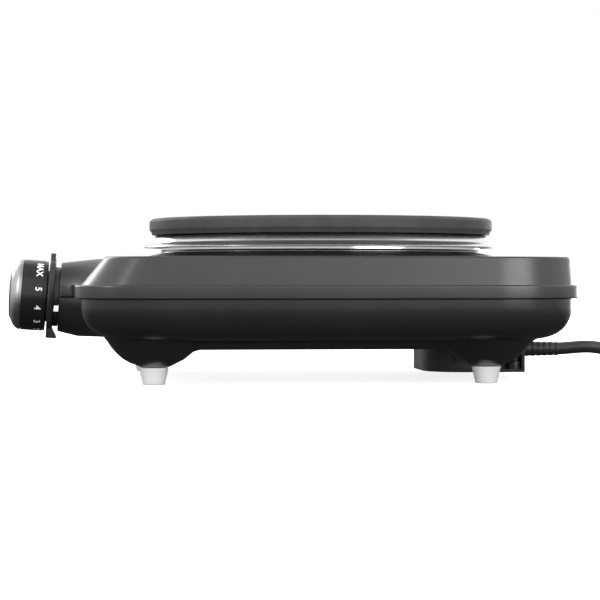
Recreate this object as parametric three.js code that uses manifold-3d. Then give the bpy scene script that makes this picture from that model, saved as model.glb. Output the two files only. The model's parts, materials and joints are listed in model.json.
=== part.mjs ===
// Portable electric hot plate: a cast-iron plate in a pressed black housing, worked by a front dial.
// Millimetres, +Z up. X runs across the housing, the dial faces -Y and the mains cord leaves at +Y.
// Every piece is placed from the vertical axis through the middle of the plate, and the finished
// group is then slid along Y so that its origin is the bottom centre of the object without its cord.

import * as THREE from 'three';
import { mergeVertices } from 'three/addons/utils/BufferGeometryUtils.js';
import Module from 'manifold-3d';

const wasm = await Module();
wasm.setup();

// ---------------------------------------------------------------- driving dimensions

const GAP = 0.3; // between two pieces that touch
const SKIN = 1.5; // sheet of the housing, paint included
const DEG = Math.PI / 180;
const ROUND = { large: 44, medium: 28, small: 16, fastener: 10 }; // sides of a turned shape

// Housing, in plan: distances from the plate's axis to the edge of the parting band.
const HALF_WIDTH = 118;
const REAR = 124.2;
const FRONT = -131.7;
const REAR_CORNER = 48;
const FRONT_CORNER = 35;
const CORNER_STEPS = 5;

// Housing, in height.
const PARTING_Z = 43.2;
const BAND_TOP_Z = 49.7;
const TOP_Z = 64;
const COLLAR_Z = 66.7;
const COLLAR_FOOT_R = 94.5;
const COLLAR_TOP_R = 86.5;
const OPENING_R = 82;

// Lower shell: a bowl whose wall is a superellipse, with a plateau and four domes under it.
const BOWL_INSET = 3;
const BOWL_RUN = 24;
const BOWL_RUN_FRONT = 30;
const BOWL_POWER = 2.7;
const BOWL_Z = 22.3;
const BOWL_STEPS = 6;
const PLATEAU = { halfWidth: 84, rear: 82, front: -97.5, corner: 26, z: 17.5, draft: 2 };
const DOME_PROFILE = [[25.6, 27], [23.7, 22.3], [20.3, 17.5], [16.1, 13.3], [11.9, 10.9], [8.2, 9.5]];
const DOME_Z = 9;

// Feet, under the middle of each dome.
const FOOT_X = 76;
const FOOT_FRONT_Y = -92.3;
const FOOT_REAR_Y = 76.4;
const FOOT_TOP_R = 7.5;
const FOOT_BOTTOM_R = 5.35;

// Nose that carries the dial. Its axis leans up towards the user.
const NOSE_Y = -140.5;
const NOSE_Z = 43.2;
const NOSE_R = 18.3;
const NOSE_FLARE = 0.18; // growth of the radius for each millimetre towards the housing
const NOSE_LENGTH = 38;
const NOSE_WIDEN = 0.55; // share by which the nose is wider than high, this far behind its face
const NOSE_WIDEN_AT = 22;
const NOSE_BAND = [
  [20.6, -139.8], [21.2, -136.6], [22.8, -134], [26.4, -132.3], [33, -131.6], [33, -122],
];
const DIAL_TILT = 4;

// Plate and the chromed ring that it stands on.
const PLATE_R = 92.4;
const PLATE_TOP_Z = 84.9;
const PLATE_RIM_Z = 76.3;
const PLATE_UNDER_Z = 79;
const RING_TOP_Z = 75.8;

// Dial. Heights are along its own axis, from the nose's front face.
const SHAFT_R = 3;
const BEZEL_BACK = 2.9;
const BEZEL_FRONT = 5.9;
const BEZEL_BOSS = 8.4; // front of the ring that reaches into the knob
const BEZEL_R = 20.3;
const KNOB_BACK = 6.9;
const KNOB_FRONT = 19.5;
const KNOB_R = 18.75;
const CAP_FRONT = 26;
const INLAY_R = 12.4;

// Cord cover under the rear of the housing.
const COVER = { halfWidth: 36, front: 53.4, rear: 105.3, corner: 26, bottom: 3.5, wall: 2, niche: 7 };
const COVER_NICHE_FRONT = 66.5; // the niches at the sides start behind the round corners

// Mains cord: a round sheath, a sleeve where it leaves the cover and a coil put away behind.
const CORD_D = 6.8;
const CORD_Z = 14.6;
const SLEEVE_END_Y = 131;
const COIL = { x: 30, y: 219, turn: 42.4, inner: 32.1, outer: 45.9, bottom: 0.1, top: 14.2 };

// ---------------------------------------------------------------- solids

function clean(geometry) {
  // Only the shared positions are kept, and triangles that have shrunk to a line are dropped.
  geometry.deleteAttribute('normal');
  geometry.deleteAttribute('uv');
  const merged = mergeVertices(geometry, 1e-4);
  const index = merged.index.array;
  const kept = [];
  for (let i = 0; i < index.length; i += 3) {
    const [a, b, c] = [index[i], index[i + 1], index[i + 2]];
    if (a !== b && b !== c && c !== a) kept.push(a, b, c);
  }
  const result = new THREE.BufferGeometry();
  result.setAttribute('position', merged.getAttribute('position'));
  result.setIndex(kept);
  return result;
}

function solid(geometry) {
  const mesh = clean(geometry);
  return new wasm.Manifold(new wasm.Mesh({
    numProp: 3,
    vertProperties: new Float32Array(mesh.getAttribute('position').array),
    triVerts: new Uint32Array(mesh.index.array),
  }));
}

function geometryOf(manifold) {
  const mesh = manifold.getMesh();
  const geometry = new THREE.BufferGeometry();
  geometry.setAttribute('position', new THREE.BufferAttribute(mesh.vertProperties, 3));
  geometry.setIndex(new THREE.BufferAttribute(mesh.triVerts, 1));
  return geometry;
}

function lathe(profile, segments) {
  // Turned about +Z. The profile is [radius, height] and closes on itself or on the axis.
  const points = profile.map(([r, z]) => new THREE.Vector2(r, z));
  if (points[0].x > 0) points.push(points[0].clone());
  const area = points.reduce((sum, p, i) => {
    const q = points[(i + 1) % points.length];
    return sum + p.x * q.y - q.x * p.y;
  }, 0);
  if (area < 0) points.reverse();
  return new THREE.LatheGeometry(points, segments).rotateX(Math.PI / 2);
}

function box(x, y, z) {
  // Each argument is [from, to].
  const size = [x, y, z].map(([low, high]) => high - low);
  const middle = [x, y, z].map(([low, high]) => (low + high) / 2);
  return new THREE.BoxGeometry(...size).translate(...middle);
}

function cylinder(radius, z, segments = 16, at = [0, 0]) {
  const height = z[1] - z[0];
  const geometry = new THREE.CylinderGeometry(radius, radius, height, segments).rotateX(Math.PI / 2);
  return geometry.translate(at[0], at[1], (z[0] + z[1]) / 2);
}

function cylinderAlongY(radius, y, segments = 16, at = [0, 0]) {
  const geometry = new THREE.CylinderGeometry(radius, radius, y[1] - y[0], segments);
  return geometry.translate(at[0], (y[0] + y[1]) / 2, at[1]);
}

function prism(points, z) {
  // A straight-sided plate with the outline given as [x, y], from one height to another.
  const shape = new THREE.Shape(points.map(([x, y]) => new THREE.Vector2(x, y)));
  const options = { depth: z[1] - z[0], bevelEnabled: false, curveSegments: 8 };
  return new THREE.ExtrudeGeometry(shape, options).translate(0, 0, z[0]);
}

function sweep(points, radius, sides, steps) {
  // A round bar of one thickness along a smooth curve through the points.
  const section = [];
  for (let i = 0; i < sides; i++) {
    const angle = (i / sides) * 2 * Math.PI;
    section.push(new THREE.Vector2(radius * Math.cos(angle), radius * Math.sin(angle)));
  }
  const curve = new THREE.CatmullRomCurve3(points.map((p) => new THREE.Vector3(...p)));
  return new THREE.ExtrudeGeometry(new THREE.Shape(section), { steps, extrudePath: curve });
}

function loft(rings) {
  // Rings of as many points each, from the lowest to the highest, closed by a fan at either end.
  const positions = [];
  const index = [];
  const count = rings[0].length;
  for (const ring of rings) for (const point of ring) positions.push(...point);
  for (let level = 0; level + 1 < rings.length; level++) {
    for (let i = 0; i < count; i++) {
      const a = level * count + i;
      const b = level * count + ((i + 1) % count);
      index.push(a, b, b + count, a, b + count, a + count);
    }
  }
  for (const [level, up] of [[0, false], [rings.length - 1, true]]) {
    const middle = rings[level].reduce((sum, p) => sum.map((v, k) => v + p[k] / count), [0, 0, 0]);
    const centre = positions.length / 3;
    positions.push(...middle);
    for (let i = 0; i < count; i++) {
      const a = level * count + i;
      const b = level * count + ((i + 1) % count);
      index.push(...(up ? [a, b, centre] : [b, a, centre]));
    }
  }
  const geometry = new THREE.BufferGeometry();
  geometry.setAttribute('position', new THREE.Float32BufferAttribute(positions, 3));
  geometry.setIndex(index);
  return geometry;
}

function roundedOutline({ halfWidth, rear, front, rearCorner, frontCorner, z }) {
  const corners = [
    [halfWidth - frontCorner, front + frontCorner, frontCorner, -90],
    [halfWidth - rearCorner, rear - rearCorner, rearCorner, 0],
    [-halfWidth + rearCorner, rear - rearCorner, rearCorner, 90],
    [-halfWidth + frontCorner, front + frontCorner, frontCorner, 180],
  ];
  const points = [];
  for (const [x, y, radius, start] of corners) {
    for (let i = 0; i <= CORNER_STEPS; i++) {
      const angle = (start + (90 * i) / CORNER_STEPS) * DEG;
      points.push([x + radius * Math.cos(angle), y + radius * Math.sin(angle), z]);
    }
  }
  return points;
}

function housingOutline(inset, frontInset, z) {
  return roundedOutline({
    halfWidth: HALF_WIDTH - inset,
    rear: REAR - inset,
    front: FRONT + frontInset,
    rearCorner: Math.max(REAR_CORNER - inset, 10),
    frontCorner: Math.max(FRONT_CORNER - inset, 10),
    z,
  });
}

// ---------------------------------------------------------------- pieces and their materials

const FINISHES = {
  black_paint: { color: 0x1b1b1c, roughness: 0.42, metalness: 0 },
  cast_iron: { color: 0x2c2c2d, roughness: 0.62, metalness: 0.25 },
  chrome: { color: 0xd6d6d8, roughness: 0.08, metalness: 1 },
  black_plastic: { color: 0x121213, roughness: 0.3, metalness: 0 },
  foot_rubber: { color: 0xd2d2d0, roughness: 0.6, metalness: 0 },
  steel: { color: 0x9a9c9e, roughness: 0.4, metalness: 1 },
  brass: { color: 0xb8944a, roughness: 0.35, metalness: 1 },
  ceramic: { color: 0xe6e1d4, roughness: 0.55, metalness: 0 },
  heater: { color: 0x7c756c, roughness: 0.7, metalness: 0.6 },
  insulation: { color: 0xc9c2ae, roughness: 0.9, metalness: 0 },
  aluminium: { color: 0xc3c5c8, roughness: 0.45, metalness: 1 },
  cord_rubber: { color: 0x1c1c1d, roughness: 0.6, metalness: 0 },
  wire_brown: { color: 0x5b3220, roughness: 0.5, metalness: 0 },
  wire_blue: { color: 0x2a54a0, roughness: 0.5, metalness: 0 },
  wire_green: { color: 0x4c8f3c, roughness: 0.5, metalness: 0 },
};

const object = new THREE.Group();
const dial = new THREE.Group(); // its own +Z runs out of the nose, towards the user
dial.position.set(0, NOSE_Y, NOSE_Z);
dial.rotation.x = (90 - DIAL_TILT) * DEG;
object.add(dial);

function piece(name, finish, shape, parent = object) {
  const geometry = shape instanceof THREE.BufferGeometry ? clean(shape) : geometryOf(shape);
  const mesh = new THREE.Mesh(geometry, new THREE.MeshStandardMaterial(FINISHES[finish]));
  mesh.name = name;
  parent.add(mesh);
  return mesh;
}

function inDialFrame(geometry) {
  return geometry.rotateX(dial.rotation.x).translate(0, NOSE_Y, NOSE_Z);
}

const FEET = [
  ['front_left', -FOOT_X, FOOT_FRONT_Y],
  ['front_right', FOOT_X, FOOT_FRONT_Y],
  ['rear_left', -FOOT_X, FOOT_REAR_Y],
  ['rear_right', FOOT_X, FOOT_REAR_Y],
];

// ---------------------------------------------------------------- housing

const NOSE_STATIONS = [-NOSE_LENGTH, -30, -24, -18, -12, -6];
const noseRadius = (z) => NOSE_R - NOSE_FLARE * z;
const NOSE_PROFILE = [[0, -NOSE_LENGTH], ...NOSE_STATIONS.map((z) => [noseRadius(z), z]),
  [NOSE_R + 0.2, -1], [NOSE_R - 0.8, 0], [0, 0]];
const NOSE_WALL = 2.2;
const NOSE_HOLLOW = [[0, -NOSE_LENGTH], ...NOSE_STATIONS.map((z) => [noseRadius(z) - SKIN, z]),
  [NOSE_R - SKIN + 0.2, -NOSE_WALL], [0, -NOSE_WALL]];
const BUSH_HOLE_R = 4.7;
const FRAME_SCREWS = [-8, 8];
const FRAME_SCREW_Y = 7;
const POST_R = 4; // posts of the upper housing that the foot screws pull down on the domes
const POST_Z = 11.2;
const POST_BORE_R = 1.7;

function upperSolid(levels) {
  return solid(loft(levels.map(([z, side, front]) => housingOutline(side, front, z))));
}

function slab(z) {
  return solid(box([-150, 150], [-170, 150], z));
}

function noseSolid(profile, low, high) {
  // Turned, then drawn out sideways towards the housing, between two heights.
  const geometry = lathe(profile, ROUND.medium);
  const position = geometry.getAttribute('position');
  for (let i = 0; i < position.count; i++) {
    const back = Math.max(0, -position.getZ(i)) / NOSE_WIDEN_AT;
    position.setX(i, position.getX(i) * (1 + NOSE_WIDEN * back * back));
  }
  return solid(inDialFrame(geometry)).intersect(slab([low, high]));
}

function noseHoles() {
  let holes = solid(inDialFrame(cylinder(BUSH_HOLE_R, [-5, 2], 20)));
  for (const x of FRAME_SCREWS) {
    holes = holes.add(solid(inDialFrame(cylinder(1.9, [-5, 2], 10, [x, FRAME_SCREW_Y]))));
  }
  return holes;
}

function upperHousing() {
  const outer = upperSolid([[PARTING_Z, 0, 0], [48.9, 0, 0], [BAND_TOP_Z, 0.8, 0.8],
    [BAND_TOP_Z + 0.2, 2.7, 3.2], [62.2, 3.6, 14.3], [63.5, 4.3, 15.3], [TOP_Z, 5.8, 16.8]]);
  const inner = upperSolid([[PARTING_Z + SKIN, 4.2, 4.7], [61.5, 5.1, 15.8], [TOP_Z - SKIN, 6.2, 17.2]]);
  const mouth = upperSolid([[PARTING_Z - 2, 4.6, 4.8], [PARTING_Z + SKIN + 0.5, 4.6, 4.8]]);
  const collar = solid(lathe([[0, 60], [COLLAR_FOOT_R, 60], [COLLAR_FOOT_R, TOP_Z],
    [COLLAR_FOOT_R - 1, 64.9], [COLLAR_TOP_R, COLLAR_Z - 0.2], [COLLAR_TOP_R - 1, COLLAR_Z],
    [0, COLLAR_Z]], ROUND.large));
  const underCollar = solid(lathe([[0, 55], [COLLAR_FOOT_R - 2, 55], [COLLAR_FOOT_R - 2, TOP_Z - SKIN],
    [COLLAR_TOP_R - 0.5, COLLAR_Z - SKIN - 0.4], [0, COLLAR_Z - SKIN]], ROUND.large));
  const opening = solid(cylinder(OPENING_R, [50, 80], ROUND.large));
  const nose = noseSolid(NOSE_PROFILE, PARTING_Z, TOP_Z - 0.5);
  const bandSide = NOSE_BAND.map(([x, y]) => [-x, y]).reverse();
  const noseBand = solid(prism([...NOSE_BAND, ...bandSide], [PARTING_Z, BAND_TOP_Z]));
  let shell = outer.add(collar).add(nose).add(noseBand);
  shell = shell.subtract(inner).subtract(mouth).subtract(underCollar).subtract(opening);
  shell = shell.subtract(noseSolid(NOSE_HOLLOW, PARTING_Z - 1, TOP_Z - SKIN - 0.1));
  for (const [, x, y] of FEET) {
    shell = shell.add(solid(cylinder(POST_R, [POST_Z, TOP_Z - 1], ROUND.fastener, [x, y])));
    shell = shell.subtract(solid(cylinder(POST_BORE_R, [POST_Z - 1, 28], ROUND.fastener, [x, y])));
  }
  return shell.subtract(noseHoles());
}

function bowlSolid(shrink) {
  const levels = [];
  for (let i = BOWL_STEPS; i >= 0; i--) {
    const t = (90 * i) / BOWL_STEPS * DEG;
    const across = 1 - Math.cos(t) ** (2 / BOWL_POWER);
    const down = Math.sin(t) ** (2 / BOWL_POWER);
    const side = BOWL_INSET + BOWL_RUN * across + shrink;
    const front = BOWL_INSET + BOWL_RUN_FRONT * across + shrink;
    levels.push([PARTING_Z - GAP - (PARTING_Z - GAP - BOWL_Z - shrink) * down, side, front]);
  }
  if (shrink > 0) levels.push([PARTING_Z + 2, BOWL_INSET + shrink, BOWL_INSET + shrink]);
  return upperSolid(levels);
}

function plateauSolid(shrink, topZ) {
  const { halfWidth, rear, front, corner, z, draft } = PLATEAU;
  const ring = (grow, height) => roundedOutline({
    halfWidth: halfWidth - shrink + grow,
    rear: rear - shrink + grow,
    front: front + shrink - grow,
    rearCorner: corner,
    frontCorner: corner,
    z: height,
  });
  return solid(loft([ring(0, z + shrink), ring(draft, topZ)]));
}

function domeSolid(shrink, x, y) {
  const hollow = [[0, 28], [22.6, 28], [18.6, 18.5], [7, DOME_Z + SKIN], [0, DOME_Z + SKIN]];
  const closed = shrink > 0 ? hollow : [[0, 27], ...DOME_PROFILE, [0, DOME_Z]];
  return solid(lathe(closed, shrink > 0 ? ROUND.small : 24).translate(x, y, 0));
}

function lowerHousing() {
  let outer = bowlSolid(0).add(plateauSolid(0, BOWL_Z + 4));
  let inner = bowlSolid(SKIN).add(plateauSolid(SKIN, BOWL_Z + 8));
  for (const [, x, y] of FEET) {
    outer = outer.add(domeSolid(0, x, y));
    inner = inner.add(domeSolid(SKIN, x, y));
  }
  outer = outer.add(noseSolid(NOSE_PROFILE, BOWL_Z, PARTING_Z - GAP));
  inner = inner.add(noseSolid(NOSE_HOLLOW, BOWL_Z + SKIN, PARTING_Z + 1));
  let shell = outer.subtract(inner);
  for (const [, x, y] of FEET) {
    shell = shell.subtract(solid(cylinder(2.2, [0, 20], ROUND.fastener, [x, y])));
  }
  shell = shell.subtract(solid(box([-13, 13], [57, 74], [10, 30])));
  for (const side of [-1, 1]) {
    for (let i = 0; i < 6; i++) {
      const y = -60 + 12 * i;
      shell = shell.subtract(solid(box([side * 42 - 14, side * 42 + 14], [y - 2, y + 2], [10, 30])));
    }
  }
  return shell.subtract(noseHoles());
}

piece('upper_housing', 'black_paint', upperHousing());
piece('lower_housing', 'black_paint', lowerHousing());

// ---------------------------------------------------------------- feet

const FOOT_TOP_Z = DOME_Z - GAP;

function foot() {
  return lathe([[2.2, 3.4], [2.2, FOOT_TOP_Z], [FOOT_TOP_R, FOOT_TOP_Z], [FOOT_BOTTOM_R + 0.2, 1],
    [FOOT_BOTTOM_R - 0.5, 0], [3.3, 0], [3.3, 3.4]], ROUND.small);
}

function footScrew() {
  const profile = [[0, 1.2], [2.6, 1.2], [2.9, 1.8], [2.9, 3.1], [1.4, 3.1], [1.4, 25], [0, 26]];
  return lathe(profile, ROUND.fastener);
}

for (const [place, x, y] of FEET) {
  piece(`foot_${place}`, 'foot_rubber', foot()).position.set(x, y, 0);
  piece(`foot_screw_${place}`, 'steel', footScrew()).position.set(x, y, 0);
}

// ---------------------------------------------------------------- plate, from the top down

piece('hot_plate', 'cast_iron', lathe([
  [0, PLATE_TOP_Z - 1.2], [21, PLATE_TOP_Z - 1.2], [23, PLATE_TOP_Z], [90.2, PLATE_TOP_Z],
  [91.7, PLATE_TOP_Z - 0.5], [PLATE_R, PLATE_TOP_Z - 2], [PLATE_R, 78.8], [91.7, 78.2],
  [91.2, 77.2], [90.9, PLATE_RIM_Z], [86.2, PLATE_RIM_Z], [84.5, PLATE_UNDER_Z], [8, PLATE_UNDER_Z], [8, 75],
  [3.3, 75], [3.3, PLATE_TOP_Z - 4], [0, PLATE_TOP_Z - 4],
], ROUND.large));

piece('spill_ring', 'chrome', lathe([
  [85.2, COLLAR_Z + GAP], [86, COLLAR_Z + GAP], [86, 73.6], [88.1, 74.4], [94.7, 69.4], [95.8, 69.6],
  [89.7, 75.2], [88.9, RING_TOP_Z], [86.6, RING_TOP_Z], [85.2, 75],
], ROUND.large));

function heatingCoil() {
  // One sheathed element wound from the middle outwards, in the hollow under the plate.
  const turns = 2.6;
  const steps = 40;
  const points = [];
  for (let i = 0; i <= steps; i++) {
    const angle = (i / steps) * turns * 2 * Math.PI;
    const radius = 30 + 44 * (i / steps);
    points.push([radius * Math.cos(angle), radius * Math.sin(angle), 76.5]);
  }
  return sweep(points, 2.1, 6, 56);
}

piece('heating_coil', 'heater', heatingCoil());
piece('insulation_disc', 'insulation', lathe([[9, 72.2], [80, 72.2], [80, 74.1], [9, 74.1]], ROUND.medium));

const TERMINAL_Y = 46;
const TERMINAL_X = 15;

piece('plate_cover', 'steel', lathe([
  [4, 70.6], [79, 70.6], [80.5, 70.9], [80.5, 71.9], [4, 71.9],
], ROUND.medium));
piece('plate_stud', 'steel', lathe([
  [0, 44], [2.7, 44.4], [2.7, PLATE_TOP_Z - 5], [0, PLATE_TOP_Z - 4.6],
], 12));

function heatShield() {
  // A shallow aluminium dish between the hot plate and the wiring.
  const dish = solid(lathe([[4, 58.6], [66, 58.6], [76, 63.8], [79, 63.8], [79, 64.8], [75.6, 64.8],
    [65.6, 59.6], [4, 59.6]], ROUND.medium));
  const across = [-TERMINAL_X - 3, TERMINAL_X + 3];
  return dish.subtract(solid(box(across, [TERMINAL_Y - 9, TERMINAL_Y + 9], [50, 70])));
}

piece('heat_shield', 'aluminium', heatShield());

function clampBridge() {
  // A strap across the housing whose ends press up under the rim of the opening.
  const outline = [[-89, 62.9], [-83, 62.9], [-74, 56], [74, 56], [83, 62.9], [89, 62.9], [89, 60.7],
    [84, 60.7], [75, 53.8], [-75, 53.8], [-84, 60.7], [-89, 60.7]];
  const strap = solid(prism(outline, [-11, 11]).rotateX(Math.PI / 2));
  return strap.subtract(solid(cylinder(3.2, [50, 60], 12)));
}

piece('clamp_bridge', 'steel', clampBridge());
piece('bridge_nut', 'steel', solid(cylinder(6.4, [48.4, 53.5], 6))
  .subtract(solid(cylinder(3.1, [47, 55], 12))));

// ---------------------------------------------------------------- electrical pieces of the plate

function plateTerminal() {
  const block = solid(box([-TERMINAL_X, TERMINAL_X], [TERMINAL_Y - 6, TERMINAL_Y + 6], [57, 70.3]));
  return block.subtract(solid(box([-4, 4], [TERMINAL_Y - 4, TERMINAL_Y + 7], [56, 62])));
}

piece('plate_terminal', 'ceramic', plateTerminal());

for (const [side, x] of [['left', -9.5], ['right', 9.5]]) {
  const tab = box([x - 3.1, x + 3.1], [TERMINAL_Y - 0.5, TERMINAL_Y + 0.5], [48.5, 56.7]);
  piece(`terminal_tab_${side}`, 'steel', tab);
}

piece('thermal_cutout', 'ceramic', box([-44, -26], [30, 42], [62, 70.3]));
piece('terminal_block', 'insulation', solid(box([-19, 19], [34, 48], [19.4, 31]))
  .subtract(solid(box([-5.4, -4.6], [33, 49], [25, 32])))
  .subtract(solid(box([4.6, 5.4], [33, 49], [25, 32]))));

// ---------------------------------------------------------------- dial

function bezel() {
  // A disc with a pointer at the top and a thick lip at the bottom, on a skirt with side windows.
  const disc = solid(lathe([[0, BEZEL_BACK], [BEZEL_R - 0.4, BEZEL_BACK], [BEZEL_R, BEZEL_BACK + 0.4],
    [BEZEL_R, BEZEL_FRONT - 0.4], [BEZEL_R - 0.4, BEZEL_FRONT], [0, BEZEL_FRONT]], ROUND.medium));
  const pointerOutline = [[-5.5, 18], [5.5, 18], [1.8, 23], [-1.8, 23]];
  const pointer = solid(prism(pointerOutline, [BEZEL_BACK + 0.3, BEZEL_FRONT]));
  const lipSide = [[-22, BEZEL_FRONT], [-16, BEZEL_FRONT], [-16, BEZEL_BACK], [-18, BEZEL_BACK - 0.4],
    [-22, BEZEL_BACK - 2.1]];
  const lip = solid(prism(lipSide.map(([y, z]) => [z, y]), [-11, 11]).rotateY(-Math.PI / 2));
  const skirtTop = BEZEL_BACK + 0.5;
  const skirt = solid(lathe([[13.8, GAP], [15.8, GAP], [15.8, skirtTop], [13.8, skirtTop]], 32));
  const window = solid(box([-20, 20], [-8, -4.6], [-1, BEZEL_BACK - 0.1]));
  const bossBack = BEZEL_FRONT - 0.5;
  const boss = solid(lathe([
    [12, bossBack], [13.6, bossBack], [13.6, BEZEL_BOSS], [12, BEZEL_BOSS],
  ], ROUND.medium));
  let shape = disc.add(pointer).add(lip).add(skirt).add(boss).subtract(window);
  for (const side of [-1, 1]) {
    const slot = [side * 18.6, side * 24].sort((a, b) => a - b);
    shape = shape.subtract(solid(box(slot, [-9, 9], [BEZEL_BACK + 0.5, BEZEL_BACK + 1.7])));
  }
  return shape.subtract(solid(cylinder(BUSH_HOLE_R, [-3, 9], 20)));
}

piece('bezel', 'black_plastic', bezel(), dial);

function knobBody() {
  const wall = solid(lathe([[16.9, KNOB_BACK], [18.4, KNOB_BACK], [18.4, KNOB_BACK + 1.1],
    [KNOB_R, KNOB_BACK + 1.4], [KNOB_R, KNOB_FRONT], [0, KNOB_FRONT], [0, KNOB_FRONT - 1.8],
    [16.9, KNOB_FRONT - 1.8]], ROUND.medium));
  const hub = solid(cylinder(6.2, [KNOB_BACK + 0.6, KNOB_FRONT - 1], 20));
  const bore = solid(cylinder(SHAFT_R + GAP, [KNOB_BACK - 2, KNOB_FRONT - 2.4], 16));
  const flat = solid(box([-4, 4], [1.7 + GAP, 6], [KNOB_BACK - 3, KNOB_FRONT]));
  const slot = solid(box([-2.2, 2.2], [2.3, 3.6], [KNOB_BACK - 3, KNOB_FRONT - 3]));
  let shape = wall.add(hub).subtract(bore.subtract(flat)).subtract(slot);
  for (const turn of [30, 150, 270]) {
    const rib = solid(box([6, 17.2], [-0.6, 0.6], [KNOB_FRONT - 7, KNOB_FRONT - 1]).rotateZ(turn * DEG));
    shape = shape.add(rib);
  }
  return shape;
}

piece('knob_body', 'black_plastic', knobBody(), dial);
piece('knob_cap', 'chrome', lathe([
  [KNOB_R - 0.1, KNOB_FRONT + GAP], [KNOB_R - 0.3, 21.3], [17, 23.3], [14.6, 24.7],
  [INLAY_R + GAP, CAP_FRONT - 0.4],
  [INLAY_R + GAP, 24.2], [0, 24.2], [0, 23], [13.6, 23], [16.2, 21.4], [17.2, KNOB_FRONT + GAP],
], ROUND.medium), dial);
piece('knob_inlay', 'black_plastic', lathe([[0, 24.5], [INLAY_R, 24.5], [INLAY_R, CAP_FRONT],
  [INLAY_R - 0.6, CAP_FRONT + 0.5], [0, CAP_FRONT + 0.7]], 32), dial);
piece('knob_clip', 'steel', box([-1.9, 1.9], [2.6, 3.3], [8.6, 15.6]), dial);

function spindle() {
  const bar = solid(cylinder(SHAFT_R, [-13, KNOB_FRONT - 2.8], 16));
  const flat = solid(box([-4, 4], [1.7, 5], [KNOB_BACK - 1, KNOB_FRONT]));
  const head = solid(cylinder(3.9, [-17, -13], 16));
  return bar.subtract(flat).add(head);
}

piece('control_spindle', 'brass', spindle(), dial);

// ---------------------------------------------------------------- thermostat behind the nose

function thermostatFrame() {
  const plate = solid(box([-11.4, 11.4], [-8, 11], [-4, -2.5]));
  const arms = solid(box([-11.4, 11.4], [9.6, 11], [-34, -3]));
  const back = solid(box([-11.4, 11.4], [-8, 11], [-34, -32.6]));
  let shape = plate.add(arms).add(back).subtract(solid(cylinder(BUSH_HOLE_R, [-6, 0], 20)));
  for (const x of FRAME_SCREWS) {
    shape = shape.subtract(solid(cylinder(1.3, [-6, 0], 10, [x, FRAME_SCREW_Y])));
  }
  return shape.subtract(solid(cylinder(3, [-36, -30], 12)));
}

piece('thermostat_frame', 'steel', thermostatFrame(), dial);
piece('thermostat_bush', 'brass', solid(lathe([[3.2, -9.5], [7, -9.5], [7, -4.3], [4.35, -4.3], [4.35, 4.6],
  [3.2, 4.6]], 20)), dial);

for (const [side, x] of [['left', FRAME_SCREWS[0]], ['right', FRAME_SCREWS[1]]]) {
  const screw = lathe([[0, -6], [1, -6], [1, GAP], [2.6, GAP], [2.2, 2], [0, 2.3]], 10);
  piece(`frame_screw_${side}`, 'steel', screw.translate(x, FRAME_SCREW_Y, 0), dial);
}

piece('setting_pin', 'ceramic', lathe([[0, -21.4], [1.6, -21.4], [1.6, -17.4], [0, -17.4]], 12), dial);
piece('lower_contact_spring', 'brass', box([-4, 4], [-8, 6], [-23.3, -22.8]), dial);
piece('upper_contact_spring', 'brass', box([-4, 4], [-8, 6], [-26.4, -25.9]), dial);
piece('bimetal_strip', 'steel', box([-5, 5], [-8.5, 9.3], [-30.6, -29.6]), dial);

// ---------------------------------------------------------------- cord cover and what it holds

const COVER_BOSS_BACK = 5.6;

function cordCover() {
  // A tray against the underside, with a chamber for the cord and an open niche for a screw at each side.
  const { halfWidth, front, rear, corner, bottom, wall, niche } = COVER;
  const reach = halfWidth - niche;
  const outline = { halfWidth, rear, front, rearCorner: 2, frontCorner: corner };
  const inside = {
    halfWidth: reach - wall,
    rear: rear - wall,
    front: front + wall,
    rearCorner: 1,
    frontCorner: corner - wall,
  };
  const levels = (shape, low, high) => [low, high].map((z) => roundedOutline({ ...shape, z }));
  let block = solid(loft(levels(outline, bottom, 30)));
  block = block.subtract(bowlSolid(-GAP)).subtract(plateauSolid(-GAP, BOWL_Z + 6));
  block = block.subtract(solid(loft(levels(inside, bottom + wall, 40))));
  for (const side of [-1, 1]) {
    const across = [side * reach, side * (halfWidth + 2)].sort((a, b) => a - b);
    block = block.subtract(solid(box(across, [COVER_NICHE_FRONT, rear - wall], [bottom + wall - 0.4, 40])));
    const boss = [side * (halfWidth - 4), rear - COVER_BOSS_BACK];
    block = block.add(solid(cylinder(3.6, [bottom + 1, 9.2], 16, boss)));
    block = block.subtract(solid(cylinder(1.6, [0, 12], 12, boss)));
  }
  return block.subtract(solid(cylinderAlongY(4.4, [rear - 6, rear + 4], 20, [0, CORD_Z])));
}

piece('cord_cover', 'black_plastic', cordCover());

for (const [side, x] of [['left', -COVER.halfWidth + 4], ['right', COVER.halfWidth - 4]]) {
  const screw = solid(cylinder(2.6, [9.5, 11.4], 12)).add(solid(cylinder(1.2, [4.2, 10], 10)));
  piece(`cover_screw_${side}`, 'steel', screw.translate([x, COVER.rear - COVER_BOSS_BACK, 0]));
}

const CLAMP_Y = 92;
const SHEATH_END_Y = 83; // the cord's outer sheath is cut back to here

function cordClamp() {
  const low = COVER.bottom + COVER.wall + GAP;
  const bar = solid(box([-13, 13], [CLAMP_Y - 4, CLAMP_Y + 4], [low, CORD_Z - 0.5]));
  const saddle = solid(cylinderAlongY(CORD_D / 2 + GAP, [CLAMP_Y - 6, CLAMP_Y + 6], 16, [0, CORD_Z]));
  let shape = bar.subtract(saddle);
  for (const x of [-9, 9]) shape = shape.subtract(solid(cylinder(1.7, [0, 30], 10, [x, CLAMP_Y])));
  return shape;
}

piece('cord_clamp', 'black_plastic', cordClamp());
for (const [side, x] of [['left', -9], ['right', 9]]) {
  piece(`clamp_screw_${side}`, 'steel', solid(cylinder(1.4, [6.4, 14.6], 10, [x, CLAMP_Y]))
    .add(solid(cylinder(2.6, [14.4, 16.2], 12, [x, CLAMP_Y]))));
}

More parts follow.
